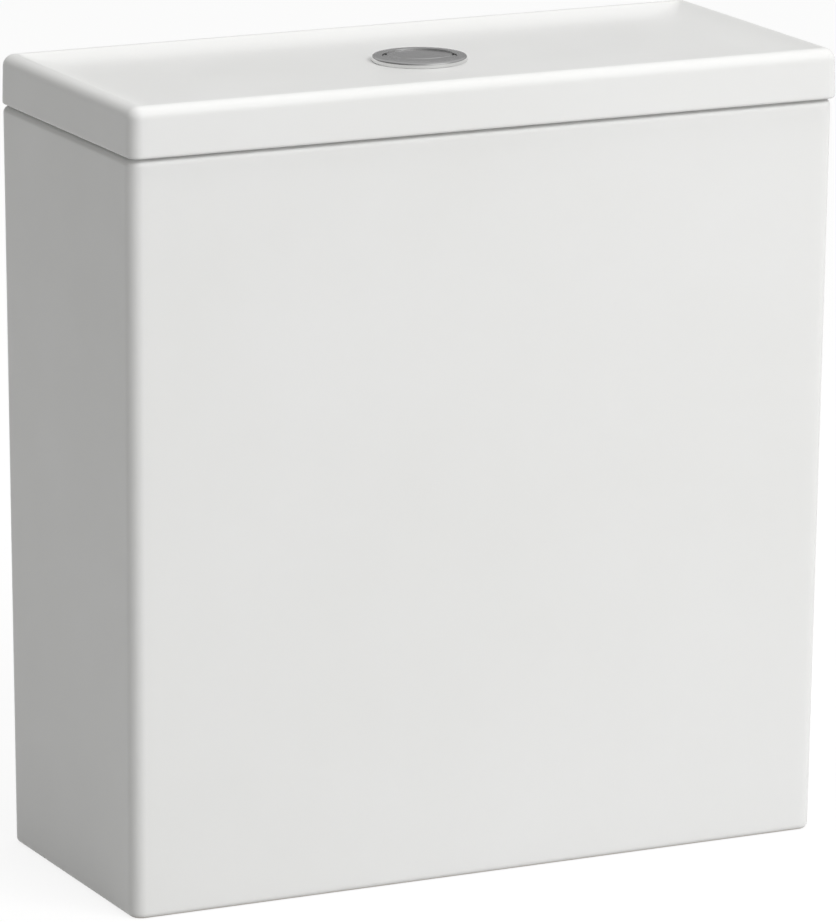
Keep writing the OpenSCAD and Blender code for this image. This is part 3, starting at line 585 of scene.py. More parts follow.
def tank_rows(z, inset, r):
    """Plan of the tank at each level: the drafted outline, drawn in by an inset."""
    z = np.asarray(z, float)
    share = 1 - z / TANK_TOP
    x = TANK_X - SIDE_DRAFT * share - inset
    front = TANK_FRONT + FRONT_DRAFT * share + inset
    return rect_rings(-x, x, front, TANK_BACK - inset, r, z)


def make_tank():
    """One closed loop of rings: up the outside, over the rim, down the water space, through the outlet hole
    and back along the hollow foot."""
    into, up = quarter()
    back_into, back_up = into[::-1], up[::-1]
    foot = tank_rows(FOOT_ROUND * up, FOOT_ROUND * into, TANK_EDGE - FOOT_ROUND * into)
    wall_z = np.concatenate([[FOOT_ROUND + 1.5], np.linspace(0.05, 0.95, 9) * TANK_TOP,
                             [TANK_TOP - RIM_ROUND - 1.5]])
    outside = tank_rows(wall_z, 0.0, TANK_EDGE)
    rim_in = RIM_ROUND * back_into
    rim = tank_rows(TANK_TOP - RIM_ROUND * back_up, rim_in, TANK_EDGE - rim_in)
    ease = 2.0
    mouth_in = np.concatenate([[RIM_ROUND + 1.0, WALL - ease - 0.6], WALL - ease * into])
    mouth_z = np.concatenate([[TANK_TOP, TANK_TOP], TANK_TOP - ease * up])
    mouth = tank_rows(mouth_z, mouth_in, mouth_in)
    inside = tank_rows(np.linspace(TANK_TOP - ease - 2, FLOOR_TOP + INNER_ROUND + 2, 8), WALL, INNER_ROUND)
    bowl = tank_rows(FLOOR_TOP + INNER_ROUND * back_up, WALL + INNER_ROUND * back_into, INNER_ROUND)
    flat = tank_rows([FLOOR_TOP], WALL + INNER_ROUND + 3, INNER_ROUND)
    hole = through_hole(flat[0], OUTLET_HOLE, 1.0, FLOOR_TOP, FLOOR_LOW, OUTLET_HOLE + 16)
    hollow, bend, toe = WALL + 1, 5.0, 1.5
    ceiling = tank_rows([FLOOR_LOW], hollow + bend + 3, INNER_ROUND)
    shoulder = tank_rows(FLOOR_LOW - bend * up, hollow + bend * into, INNER_ROUND)
    skirt = tank_rows([FLOOR_LOW - bend - 2, 20.0, 3.0], hollow, INNER_ROUND)
    heel = tank_rows(toe * back_up, hollow - toe * back_into, INNER_ROUND - toe * back_into)
    sole = tank_rows([0.0, 0.0], np.array([hollow - toe - 1, FOOT_ROUND + 1]),
                     np.array([TANK_EDGE + 1, TANK_EDGE - FOOT_ROUND + 1]))
    rows = [foot, outside, rim, mouth, inside, bowl, flat, hole, ceiling, shoulder, skirt, heel, sole]
    return put("glazed_tank", skin(np.concatenate(rows), closed=True))


floor_holes = [(*FILL, INLET_HOLE)] + [(*at, BOLT_HOLE) for at in BOLTS]
tank = bore(
    make_tank(),
    *[plug((x, y, 0), r, FLOOR_LOW - 1, FLOOR_TOP + 1) for x, y, r in floor_holes],
    *[plug((x, 0, HANG_Z), HANG_R, TANK_BACK - WALL - 2, TANK_BACK + 1, lying=True)
      for x in (-HANG_X, HANG_X)])
dress(tank, "tank")


# Lid

def lid_rows(z, inset, r):
    """Plan of the lid at each level: its drafted outline, drawn in by an inset."""
    z = np.asarray(z, float)
    lean = inset + LID_DRAFT * (z - LID_REST) / (LID_TOP - LID_REST)
    return rect_rings(-LID_X + lean, LID_X - lean, LID_LOW[1] + lean, LID_HIGH[1] - lean, r, z)


def lip_rows(z, inset):
    """Plan of the lip inside the tank's mouth at each level, drawn in by an inset."""
    lean = LIP_IN + inset
    return rect_rings(-TANK_X + lean, TANK_X - lean, TANK_FRONT + lean, TANK_BACK - lean, LIP_ROUND, z)


def make_lid():
    """One closed loop of rings: up the outside, over the crest, down the dished slope, through the button
    hole, and back under the plate and round the lip."""
    into, up = quarter()
    back_into, back_up = into[::-1], up[::-1]
    foot = lid_rows(LID_REST + LID_FOOT_ROUND * up, LID_FOOT_ROUND * into, LID_EDGE - LID_FOOT_ROUND * into)
    wall_z = [LID_REST + LID_FOOT_ROUND + 0.8, (LID_REST + LID_TOP) / 2, LID_TOP - LID_TOP_ROUND - 0.8]
    outside = lid_rows(wall_z, 0.0, LID_EDGE)
    top_in, top_drop = (LID_TOP_ROUND * share[::-1] for share in quarter(14))
    shoulder = lid_rows(LID_TOP - top_drop, top_in, LID_EDGE - top_in)
    dish_r = (DISH_SLOPE ** 2 + DISH_DEPTH ** 2) / (2 * DISH_DEPTH)
    steep = math.asin(DISH_SLOPE / dish_r)
    ease = 3.0
    bend = np.linspace(0, steep, 7)[1:]
    crest_in = LID_TOP_ROUND + CREST - ease * math.tan(steep / 2) + ease * np.sin(bend)
    crest = lid_rows(LID_TOP - ease * (1 - np.cos(bend)), crest_in, 1.0 + 0.6 * (crest_in - LID_TOP_ROUND))
    turn = np.linspace(0.94 * steep, 0, 16)
    run = DISH_SLOPE - dish_r * np.sin(turn)
    slope = lid_rows(DISH_Z + dish_r * (1 - np.cos(turn)), LID_TOP_ROUND + CREST + run, 2.0 + 0.5 * run)
    flat = lid_rows([DISH_Z], LID_TOP_ROUND + CREST + DISH_SLOPE + 3, 12.0)
    hole = through_hole(flat[0], SHANK_R + 0.5, 0.6, DISH_Z, PLATE_Z, 44.0)
    bay, toe, low = 3.0, 2.0, LID_REST - LIP_DROP
    ceiling = lip_rows([PLATE_Z], LIP_THICK + bay + 2)
    cove = lip_rows(PLATE_Z - bay * up, LIP_THICK + bay * into)
    inner = lip_rows([PLATE_Z - bay - 1, low + toe + 1], LIP_THICK)
    inner_toe = lip_rows(low + toe * back_up, LIP_THICK - toe * back_into)
    outer_toe = lip_rows(low + toe * up, toe * into)
    outer = lip_rows([low + toe + 0.5, LID_REST - 0.5, LID_REST], 0.0)
    seat = lid_rows([LID_REST], LID_FOOT_ROUND + 0.8, LID_EDGE - LID_FOOT_ROUND)
    rows = [foot, outside, shoulder, crest, slope, flat, hole, ceiling, cove, inner, inner_toe, outer_toe,
            outer, seat]
    return put("glazed_lid", skin(np.concatenate(rows), closed=True))


dress(make_lid(), "lid", LID_GLAZE)


# Ripples of turned pieces, and a spring

def fade(z, low, high, soft):
    """Share that rises from nothing to one within a soft run of two levels."""
    return np.clip(np.minimum(z - low, high - z) / soft, 0, 1)


def near(radius, r, bore_r):
    """Share of the way out from a bore to a wall, so that the end faces follow what the wall does."""
    return np.clip((radius - bore_r) / (r - bore_r), 0, 1)


def thread(pitch, depth, r, low, high):
    """Ripple of a screw thread: a triangle wave along the height that climbs one pitch a turn, only near
    radius r and between two levels."""
    def wave(bearing, radius, z):
        phase = (z / pitch - bearing / TAU) % 1.0
        return -depth * np.abs(2 * phase - 1) * fade(z, low, high, pitch) * (np.abs(radius - r) < 0.05)
    return wave


def ribs(count, height, r, bore_r, low, high, sharp=2.0, soft=1.0):
    """Ripple of upright ribs, or of flutes where the height is below nothing: a raised cosine of the
    bearing, narrowed by a power."""
    def wave(bearing, radius, z):
        ridge = height * (0.5 + 0.5 * np.cos(count * bearing)) ** sharp
        return ridge * fade(z, low, high, soft) * near(radius, r, bore_r) ** 4
    return wave


def notches(count, notch_r, r, bore_r, high):
    """Ripple of round spanner notches in a rim, up to a level."""
    def wave(bearing, radius, z):
        off = r * np.sin((bearing + math.pi / count) % (TAU / count) - math.pi / count)
        return -np.sqrt(np.maximum(notch_r ** 2 - off ** 2, 0)) * (z < high) * near(radius, r, bore_r)
    return wave


def six_sided(r, bore_r, low, high):
    """Ripple that flattens a round wall into a nut's six sides, with corners chamfered at both levels."""
    def wave(bearing, radius, z):
        flat = r * math.cos(math.pi / 6)
        side = flat / np.cos(bearing % (math.pi / 3) - math.pi / 6)
        cone = 0.97 * flat + 1.7 * np.minimum(z - low, high - z)
        within = (z >= low - 0.1) & (z <= high + 0.1)
        return (np.minimum(side, cone) - r) * near(radius, r, bore_r) * within
    return wave


def joined(*waves):
    """Sum of several ripples."""
    return lambda bearing, radius, z: sum(w(bearing, radius, z) for w in waves)


def coil(centre, r, wire, low, high, turns):
    """A spring with closed ends: a round wire carried along a helix whose first and last turns lie flat and
    whose middle turns climb."""
    w = np.linspace(0, turns, turns * 44 + 1)
    ease = np.clip((np.minimum(w, turns - w) - 0.7) / 0.6, 0, 1)
    rate = 2.06 * wire + (high - low) / turns * ease * ease * (3 - 2 * ease)
    climb = np.concatenate([[0], np.cumsum((rate[1:] + rate[:-1]) / 2)])
    z = low + wire + (high - low - 2 * wire) * climb / climb[-1]
    a = TAU * w
    path = np.stack([centre[0] + r * np.cos(a), centre[1] + r * np.sin(a), z], -1)
    side = np.stack([np.cos(a), np.sin(a), 0 * a], -1)
    over = np.cross(unit(np.gradient(path, axis=0)), side)
    b = np.linspace(0, TAU, 12, endpoint=False)[None, :, None]
    return skin(path[:, None, :] + wire * (np.cos(b) * side[:, None, :] + np.sin(b) * over[:, None, :]))


def turned(corners, radii, centre=AXIS, segs=96, ripple=None, fine=None):
    """A ring from the corners of its profile, radius and height, and their roundings; fine gives the step
    and the two levels of the points added where it is rippled."""
    line = soften(corners, radii, steps=4)
    if fine:
        line = dense(line, fine[0], low=fine[1], high=fine[2])
    return lathe(line, centre, segs, ripple)


def tube_wall(r_out, r_in, low, high, soft=0.3, **more):
    """A plain ring between two radii and two levels."""
    return turned([(r_in, low), (r_out, low), (r_out, high), (r_in, high)], soft, **more)


# Push button

def to_valve(points):
    """Turns points from the button's own plan, u across and v to the rear, into the frame."""
    u, v = points[..., 0], points[..., 1]
    c, s = math.cos(VALVE_TURN), math.sin(VALVE_TURN)
    return np.stack([u * c - v * s, u * s + v * c, points[..., 2]], -1)


def in_valve(patch):
    """A patch drawn in the button's plan, turned into the frame."""
    return to_valve(patch[0]), patch[1]


def rod_place(v):
    """Where a push rod's axis stands in the frame's plan."""
    return to_valve(np.array([0.0, v, 0.0]))[:2]


def make_bezel():
    """Low domed ring with a skirt over its seal and a threaded shank: one profile turned round its axis."""
    top, low, rest = BEZEL_HIGH[2], BEZEL_LOW[2], DISH_Z + 0.1
    skirt_r, skirt_z = BEZEL_R - 1.4, rest + 0.4
    corners = [(BEZEL_R, rest), (BEZEL_R, top - 0.2), (BEZEL_R - 2.6, top), (SHANK_BORE, top - 0.05),
               (SHANK_BORE, low), (SHANK_R, low), (SHANK_R, skirt_z), (skirt_r, skirt_z), (skirt_r, rest)]
    line = soften(corners, [0.15, 1.15, 8.0, 0.25, 0.2, 0.3, 0.15, 0.15, 0.15], steps=7)
    ripple = thread(SHANK_PITCH, 0.75, SHANK_R, low + 0.8, rest - 1.5)
    return lathe(dense(line, 0.36), segs=144, ripple=ripple)


def make_web():
    """Floor of the shank that guides both push rods: a flat disc between two levels."""
    low, high, r = BEZEL_LOW[2] + 0.2, BEZEL_LOW[2] + 3.0, SHANK_BORE + 0.3
    return lathe(np.array([(0.02, low), (r, low), (r, high), (0.02, high)]), segs=72)


def cap_height(plan):
    """Height of the buttons' shared low dome: it falls with the square of the distance from the axis."""
    return CAP_HIGH[2] - 0.3 * (plan ** 2).sum(-1) / CAPS_R ** 2


def full_cap():
    """Rear button: rings drawn in from its outline towards a middle, over a rounded edge and up the dome.
    The outline is the nearest of the disc, the splitting arc and two finger notches, seen from the middle."""
    middle = np.array([0.0, FULL_V])
    a = np.linspace(0, TAU, 480, endpoint=False)
    ray = np.stack([np.cos(a), np.sin(a)], -1)

    def reach(centre, r, side):
        to = np.asarray(centre) - middle
        along = ray @ to
        room = r * r - (to @ to) + along ** 2
        out = along + np.sqrt(np.maximum(room, 0)) * side
        return np.where((room > 0) & (out > 0), out, 1e3)

    edge = np.minimum.reduce([
        reach(AXIS, CAPS_R, 1), reach((0, SPLIT_V), SPLIT_R - SPLIT_GAP / 2, 1),
        reach((NOTCH_U, NOTCH_V), NOTCH_R, -1), reach((-NOTCH_U, NOTCH_V), NOTCH_R, -1)])
    kernel = np.array([1, 2, 3, 2, 1.0]) / 9
    edge = np.convolve(np.concatenate([edge[-2:], edge, edge[:2]]), kernel, "valid")
    into, up = (CAP_SOFT * share[1:] for share in quarter(7))
    draw = np.concatenate([[0, 0], up, [CAP_SOFT + 0.3]])
    drop = np.concatenate([[0, CAP_SOFT], into, [0]])
    rings = middle + (edge[None, :, None] - draw[:, None, None]) * ray[None]
    inner = (edge - CAP_SOFT - 0.3)[None, :, None] * ray[None]
    inner = middle + np.linspace(0.9, 0.001, 12)[:, None, None] * inner
    z_rings = cap_height(rings) - drop[:, None]
    z_rings[0] = CAP_LOW[2]
    plan, z = np.concatenate([rings, inner]), np.concatenate([z_rings, cap_height(inner)])
    return in_valve(skin(np.concatenate([plan, z[..., None]], -1)))


def half_cap():
    """Front button: a crescent between the splitting arc and the disc's edge, a cross-section with two
    rounded edges carried from one notch to the other."""
    inner_r = SPLIT_R + SPLIT_GAP / 2
    gap = NOTCH_R + 0.05
    t = np.linspace(-1, 1, 160)
    a = t * (math.atan2(NOTCH_U, SPLIT_V - NOTCH_V) - gap / inner_r)
    b = t * (math.atan2(NOTCH_U, -NOTCH_V) - gap / CAPS_R)
    inner = np.stack([inner_r * np.sin(a), SPLIT_V - inner_r * np.cos(a)], -1)
    outer = np.stack([CAPS_R * np.sin(b), -CAPS_R * np.cos(b)], -1)
    wide = np.linalg.norm(outer - inner, axis=1)[:, None]
    soft = np.minimum(CAP_SOFT, 0.35 * wide)
    into, up = (soft * share for share in quarter(6))
    far = np.concatenate([0 * wide, up, 0.3 * wide, 0.7 * wide, wide - up[:, ::-1], wide], 1)
    drop = np.concatenate([soft, into, 0 * wide, 0 * wide, into[:, ::-1], soft], 1)
    plan = inner[:, None, :] + (outer - inner)[:, None, :] * (far / wide)[..., None]
    z = cap_height(plan) - drop
    z[:, 0] = z[:, -1] = CAP_LOW[2]
    return in_valve(skin(np.concatenate([plan, z[..., None]], -1)[:, ::-1]))


piece("bezel_ring", "button_bezel", make_bezel())
web = bore(put("bezel_web", make_web()),
           *[plug((*rod_place(v), 0), 3.25, BEZEL_LOW[2] - 1, BEZEL_LOW[2] + 5) for v in (FULL_V, HALF_V)])
dress(web, "button_bezel", stands=False)
piece("full_flush_cap", "full_flush_button", full_cap())
piece("half_flush_cap", "half_flush_button", half_cap())


# Under the button

piece("bezel_seal_ring", "bezel_seal", tube_wall(22.6, 20.2, DISH_Z, DISH_Z + 0.5, 0.15))
piece("ribbed_bezel_nut", "bezel_nut", turned(
    [(NUT_BORE, 389), (26, 389), (26, 394), (28, 394), (28, 396), (NUT_BORE, 396)],
    [0.6, 0.6, 0.3, 0.4, 0.3, 0.4], segs=160, fine=(0.4, 389, 396),
    ripple=joined(thread(SHANK_PITCH, -0.6, NUT_BORE, 389.4, 395.6),
                  ribs(10, 1.5, 26, 24, 388, 393.8, sharp=14, soft=0.2))))


def push_rod(v):
    """Fluted rod with a ball tip, a stop collar under the bezel's web and a plain top in its button."""
    a = np.linspace(-math.pi / 2 + 0.02, 0, 8)
    tip = np.stack([ROD_R * np.cos(a), ROD_TIP + ROD_R * np.sin(a)], -1)
    body = bar_line([(ROD_R, ROD_TIP + 0.5), (ROD_R, COLLAR_LOW), (COLLAR_R, COLLAR_LOW),
                     (COLLAR_R, COLLAR_HIGH), (ROD_R, COLLAR_HIGH), (ROD_R, ROD_TOP)],
                    [0.1, 0.5, 0.5, 0.5, 0.3, 0.3], from_axis=False)
    line = dense(np.concatenate([tip, body]), 1.0, closed=False, low=308, high=370)
    return spindle(line, rod_place(v), ripple=ribs(4, -0.7, ROD_R, 0.5, 312, 366, sharp=1.0, soft=3.0))


piece("full_rod_fluted", "full_push_rod", push_rod(FULL_V))
piece("half_rod_fluted", "half_push_rod", push_rod(HALF_V))
for name, v in (("full_button", FULL_V), ("half_button", HALF_V)):
    wound = coil(rod_place(v), 4.1, 0.45, SPRING_LOW, SPRING_HIGH, 6)
    spring = piece(name + "_coil", name + "_spring", wound)
    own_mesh(spring)


# Lid pads

pad_x, pad_low, pad_high = PAD_HIGH[0] - 8.0, PAD_LOW[1] + 2.2, PAD_HIGH[1] - 2.2
piece("lid_bumpers", "lid_pads", *[
    block((x - 8, y - 2.2, PAD_LOW[2]), (x + 8, y + 2.2, PAD_HIGH[2]), 1.5, 0.3)
    for x in (-pad_x, pad_x) for y in (pad_low, pad_high)])


# Flush valve

piece("threaded_valve_base", "flush_valve_base", turned(
    [(24, 4), (28, 4), (28, 16), (BASE_R, 16), (BASE_R, WASHER_TOP), (44, WASHER_TOP), (44, 60), (28, 60),
     (28, 65), (24, 65)], [0.8, 1.5, 0.3, 0.6, 0.4, 1.0, 1.2, 1.5, 1.2, 1.0], segs=128,
    ripple=thread(BASE_PITCH, 1.0, BASE_R, 17, 55), fine=(0.5, 15.5, WASHER_TOP)))
piece("valve_base_washer", "valve_base_seal", tube_wall(42, 29.5, FLOOR_TOP, WASHER_TOP, 1.0))
piece("notched_back_nut", "valve_back_nut", turned(
    [(29.35, 32), (39.2, 32), (39.2, 42), (29.35, 42)], [0.6, 0.8, 0.6, 0.5], segs=240, fine=(0.4, 32, 42),
    ripple=joined(thread(BASE_PITCH, -0.8, 29.35, 33, 41), notches(6, 3.0, 39.2, 29.8, 39))))
piece("foam_doughnut", "coupling_gasket", turned(
    [(29.5, 16), (43.2, 16), (47.2, 20), (47.2, 42), (39.5, 42), (39.5, 32), (29.5, 32)],
    [1.5, 2.5, 2.5, 2.0, 1.0, 1.0, 1.5], fine=(2.0, 16, 42)))


def window(bearing, low, high, half=21.8):
    """A rounded opening through the valve's drum: a plate across the wall, turned to a bearing."""
    outline = soften([(-half, low), (half, low), (half, high), (-half, high)], 5.0)
    patch = plate(outline, 28.0, 45.0, 0.2)
    a, b, c = np.moveaxis(patch[0], -1, 0)
    cs, sn = math.cos(bearing), math.sin(bearing)
    return np.stack([c * cs - a * sn, c * sn + a * cs, b], -1), patch[1]


drum = put("windowed_valve_drum", turned(
    [(36, 60), (42, 60), (42, 174), (17.4, 174), (17.4, 188), (14.4, 188), (14.4, 170), (39, 170), (39, 64),
     (36, 64)], [0.5, 1.0, 3.0, 2.5, 1.0, 0.6, 0.6, 2.0, 1.0, 0.5], segs=144, fine=(2.0, 96, 168),
    ripple=ribs(24, -0.9, 42, 41, 100, 166, sharp=3.0, soft=4.0)))
bore(drum, *[window(VALVE_TURN + math.pi / 4 + i * math.pi / 2, 64, 92) for i in range(4)])
dress(drum, "valve_tower")


def facing(corners, radii, u):
    """An outline and its roundings, mirrored where the piece stands on the other side of the axis."""
    corners, radii = np.array(corners, float), np.array(radii, float)
    return (corners, radii) if u > 0 else ((corners * (-1, 1))[::-1], radii[::-1])


def cheek(u, v):
    """Upright lugs that carry a lever's pin: round-headed plates with a foot that runs out to the web."""
    corners, radii = facing([(-6, 284.6), (9, 284.6), (9, 290.4), (6, 290.4), (6, 306), (-6, 306)],
                            [1, 1, 1, 1.5, 5.6, 5.6], u)
    line = soften(corners + (u, 0), radii, steps=8)
    return [in_valve(stood_up(plate(line, -off - 3, -off), v)) for off in (3.4, -6.4)]


HALF_ROD = to_valve(np.array([-49.7, HALF_V, 0.0]))[:2]
POST_U = 20
tower_top = [in_valve(block((u - 3, v - 3, 172), (u + 3, v + 3, 289), 1.2, 0.6))
             for u in (-POST_U, POST_U) for v in (14.55, -22.65)]
tower_top += [in_valve(block((u - 3, -25.65, 284), (u + 3, 17.55, 291), 0.8, 0.8)) for u in (-POST_U, POST_U)]
tower_top += cheek(LEVER_U, FULL_V) + cheek(-LEVER_U, HALF_V)
for low, high in ((170, 174), (240, 246)):
    tower_top.append(tube_wall(7.2, 2.6, low, high, 0.6, centre=HALF_ROD, segs=64))
    tower_top.append(in_valve(block((-44, -21.65, low + 0.3), (-18, -10.25, high - 0.3), 1.0, 0.6)))
dress(put("valve_tower_frame", *tower_top), "valve_tower", stands=False)

hook = soften([(13, 250.3), (52, 250.3), (52, HOOK_TOP), (37.5, HOOK_TOP), (37.5, HOOK_LOW), (47.5, HOOK_LOW),
               (47.5, 255.7), (13, 255.7)], [0.5, 3.0, 2.5, 1.5, 1.0, 2.0, 3.0, 0.5], steps=5)
piece("overflow_with_hook", "overflow_tube", turned(
    [(12, SEAT_Z), (14, SEAT_Z), (14, SEAL_TOP), (31, SEAL_TOP), (31, SEAL_TOP + 3), (21, SEAL_TOP + 3),
     (14, 78.7), (14, 250), (17, 250), (17, 256), (14, 256), (14, 268), (12, 268)],
    [0.4, 0.4, 0.2, 0.8, 0.8, 1.0, 3.0, 0.8, 0.6, 0.6, 0.6, 0.8, 0.6]),
    in_valve(stood_up(plate(hook, -3, 3, 0.6), FULL_V)))
piece("flush_seal_ring", "flush_seal", turned(
    [(14.1, SEAT_Z), (30.5, SEAT_Z), (30.5, SEAL_TOP), (14.1, SEAL_TOP)], [0.4, 1.0, 0.4, 0.4]))


def lever(u, v):
    """Bell lever about its pin: a nose that lifts, a hub and a flat pad under the push rod, drawn as one
    outline with thickness."""
    corners, radii = facing(
        [(32.5, -2.5), (32.5, 2.5), (18, 2.5), (4.8, 4.2), (0, 5.4), (-4.6, 3.0), (-18, 3.0), (-18, -2.0),
         (-4.0, -3.8), (0, -5.3), (4.2, -3.9)], [2.3, 2.3, 6.0, 2.0, 3.0, 2.0, 1.0, 1.5, 2.0, 3.0, 2.0], u)
    return in_valve(stood_up(plate(soften(corners + (u, LEVER_Z), radii, steps=5), -3, 3, 0.6), v))


def lying_bar(r, half, soft, segs):
    """A short bar along the second axis, about the origin, with rounded ends."""
    return laid_back(spindle(bar_line([(r, -half), (r, half)], [soft, soft]), segs=segs))


piece("full_lever_bell", "full_flush_lever", lever(LEVER_U, FULL_V))
piece("half_lever_bell", "half_flush_lever", lever(-LEVER_U, HALF_V))
piece("lever_pin_pair", "lever_pins", *[in_valve(moved(lying_bar(2.0, 6.6, 0.4, 32), (u, v, LEVER_Z)))
                                        for u, v in ((LEVER_U, FULL_V), (-LEVER_U, HALF_V))])
piece("half_flush_cup", "half_flush_float", turned(
    [(9, FLOAT_LOW), (11, FLOAT_LOW), (11, FLOAT_TOP), (2.35, FLOAT_TOP), (2.35, FLOAT_LOW),
     (5.2, FLOAT_LOW), (5.2, FLOAT_TOP - 4), (9, FLOAT_TOP - 4)],
    [0.4, 0.6, 2.0, 0.4, 0.4, 0.4, 1.0, 1.0], HALF_ROD, 64))
piece("half_lift_rod_hook", "half_flush_lift_rod", spindle(bar_line(
    [(2.2, 162), (2.2, FLOAT_TOP), (4.2, FLOAT_TOP), (4.2, FLOAT_TOP + 3), (2.2, FLOAT_TOP + 3), (2.2, 306)],
    [0.8, 0.3, 0.5, 0.5, 0.3, 0.3]), HALF_ROD, 40),
    in_valve(block((-51.9, HALF_V - 3, HOOK_LOW), (-37.5, HALF_V + 3, HOOK_TOP), 1.5, 0.8)))


# Fill valve

def spout(r, level, low, bend=6.0):
    """Side spout: a round section carried out to the rear, round a quarter bend and down."""
    a = np.linspace(0, math.pi / 2, 10)
    start = SPOUT_REACH - bend
    y = np.concatenate([[0, start - 1], start + bend * np.sin(a), [SPOUT_REACH]])[:, None]
    z = np.concatenate([[level, level], level - bend + bend * np.cos(a), [low]])[:, None]
    lean = np.concatenate([[0, 0], a, [math.pi / 2]])[:, None]
    b = np.linspace(0, TAU, 40, endpoint=False)[None, :]
    x = r * np.cos(b) + 0 * y
    up = -r * np.sin(b)
    return skin(np.stack([FILL[0] + x, FILL[1] + y + up * np.sin(lean), z + up * np.cos(lean)], -1))


piece("fill_valve_riser", "fill_valve_body", turned(
    [(6, 12), (FILL_R, 12), (FILL_R, 31), (9.8, 31), (9.8, 33), (FILL_R, 33), (FILL_R, WASHER_TOP),
     (17, WASHER_TOP), (17, 60), (9, 60), (9, 216), (16, 222), (16, DISC_LOW), (AXIS_R, DISC_LOW),
     (AXIS_R, 238), (6, 238)],
    [0.5, 0.8, 0.1, 0.1, 0.1, 0.1, 0.4, 0.8, 1.0, 2.0, 3.0, 2.0, 0.8, 0.02, 0.02, 0.5], FILL,
    ripple=joined(thread(FILL_PITCH, 0.9, FILL_R, 13, 55), ribs(4, -1.2, 9, 8, 66, 212, sharp=1.5, soft=4.0)),
    fine=(0.36, 11.5, WASHER_TOP)), spout(5.0, 234.0, 224.0))
piece("fill_valve_washer", "fill_valve_seal", tube_wall(16, 10.7, FLOOR_TOP, WASHER_TOP, 0.9, centre=FILL))
piece("flanged_fill_nut", "fill_back_nut", turned(
    [(10.55, 33), (16.9, 33), (16.9, 40.3), (18.4, 40.3), (18.4, 42), (10.55, 42)],
    [0.4, 0.1, 0.1, 0.4, 0.3, 0.4], FILL, 144, fine=(0.36, 33, 40.2),
    ripple=joined(thread(FILL_PITCH, -0.7, 10.55, 33.5, 41.5), six_sided(16.9, 11.6, 33, 48))))
piece("fill_diaphragm_disc", "fill_diaphragm", spindle(bar_line(
    [(15, DISC_LOW), (15, DISC_TOP), (11, DISC_TOP), (10, 247.2), (6, 247.2), (5, DISC_TOP)],
    [0.6, 0.6, 0.4, 0.6, 0.6, 0.4]), FILL, 64))
lug = soften([(-4, 253.5), (4, 253.5), (4, 268), (-4, 268)], [0.8, 0.8, 3.8, 3.8], steps=8)
lug = lug + (ARM_X, 0.0)
piece("ribbed_fill_cap", "fill_valve_cap", turned(
    [(16.15, 240), (18.5, 240), (18.5, 253), (16, 255), (2.5, 255), (2.5, 261.3), (AXIS_R, 261.3),
     (AXIS_R, DISC_TOP + 0.1), (16.15, DISC_TOP + 0.1)],
    [0.4, 0.6, 1.5, 1.0, 1.0, 1.0, 0.02, 0.02, 0.5], FILL, 160, fine=(0.8, 240, 253),
    ripple=ribs(16, 0.8, 18.5, 17.5, 240, 252.5, sharp=10, soft=0.8)),
    *[stood_up(plate(lug, -1.5, 1.5), FILL[1] + side * 6.4) for side in (-1, 1)])
piece("silencer_pipe", "silencer_tube",
      tube_wall(6.5, 5.2, 78, 228.5, 0.4, centre=(FILL[0], FILL[1] + SPOUT_REACH), segs=64))


def on_arm(patch):
    """A patch drawn about the float arm's pin, tipped down by its droop and set on the fill valve."""
    x, y, z = np.moveaxis(patch[0], -1, 0)
    c, s = math.cos(ARM_DROOP), math.sin(ARM_DROOP)
    return np.stack([ARM_X + x * c + z * s, FILL[1] + y, ARM_Z - x * s + z * c], -1), patch[1]


piece("float_arm_beam", "float_arm", on_arm(block((-14, -4.5, -2.5), (34, 4.5, 2.5), 1.5, 0.7)),
      on_arm(lying_bar(4, 4.5, 0.6, 48)),
      on_arm(tube_wall(6.5, 2.65, -2.5, 2.5, 0.6, centre=CUP_AT, segs=64)))
piece("float_arm_axle", "float_arm_pin", moved(lying_bar(1.6, 8.1, 0.4, 32), (ARM_X, FILL[1], ARM_Z)))
screw_line = bar_line([(2.5, -57), (2.5, 2.5), (5.5, 2.5), (5.5, 8.5)], [0.8, 0.2, 0.6, 0.8])
piece("knurled_float_screw", "float_screw", on_arm(spindle(
    dense(screw_line, 0.4, closed=False, low=-57, high=8.5), CUP_AT, 72,
    joined(thread(2.0, 0.5, 2.5, -56, 2.4), ribs(18, -0.5, 5.5, 4.5, 2.7, 8.3, sharp=1.0, soft=0.6)))))
piece("float_cup_ribbed", "float_cup", on_arm(turned(
    [(15, -61), (17, -61), (17, -21), (2.65, -21), (2.65, -61), (5.5, -61), (5.5, -24), (15, -24)],
    [0.5, 0.7, 3.0, 0.5, 0.4, 0.4, 1.0, 1.5], CUP_AT, fine=(2.0, -60, -24),
    ripple=ribs(24, -0.4, 17, 16.2, -57, -28, sharp=2.0, soft=3.0))))


# Pan fixings

stud_line = bar_line([(STUD_R, 6), (STUD_R, NUT_LOW), (3.7, NUT_LOW), (3.7, 58.5), (HEAD_R, 58.5),
                      (HEAD_R, 61.5)], [0.8, 0.1, 0.1, 0.3, 0.4, 0.2])
stud_line = dense(stud_line, 0.25, closed=False, low=6, high=34)


def slotted_head(turn):
    """Half of a bolt's head beside its driver slot: a disc cut off by a straight line, given thickness."""
    lean = math.asin(SLOT_HALF / HEAD_R)
    a = np.linspace(lean, math.pi - lean, 40) + turn
    return plate(HEAD_R * np.stack([np.cos(a), np.sin(a)], -1), 61.2, 63.5)


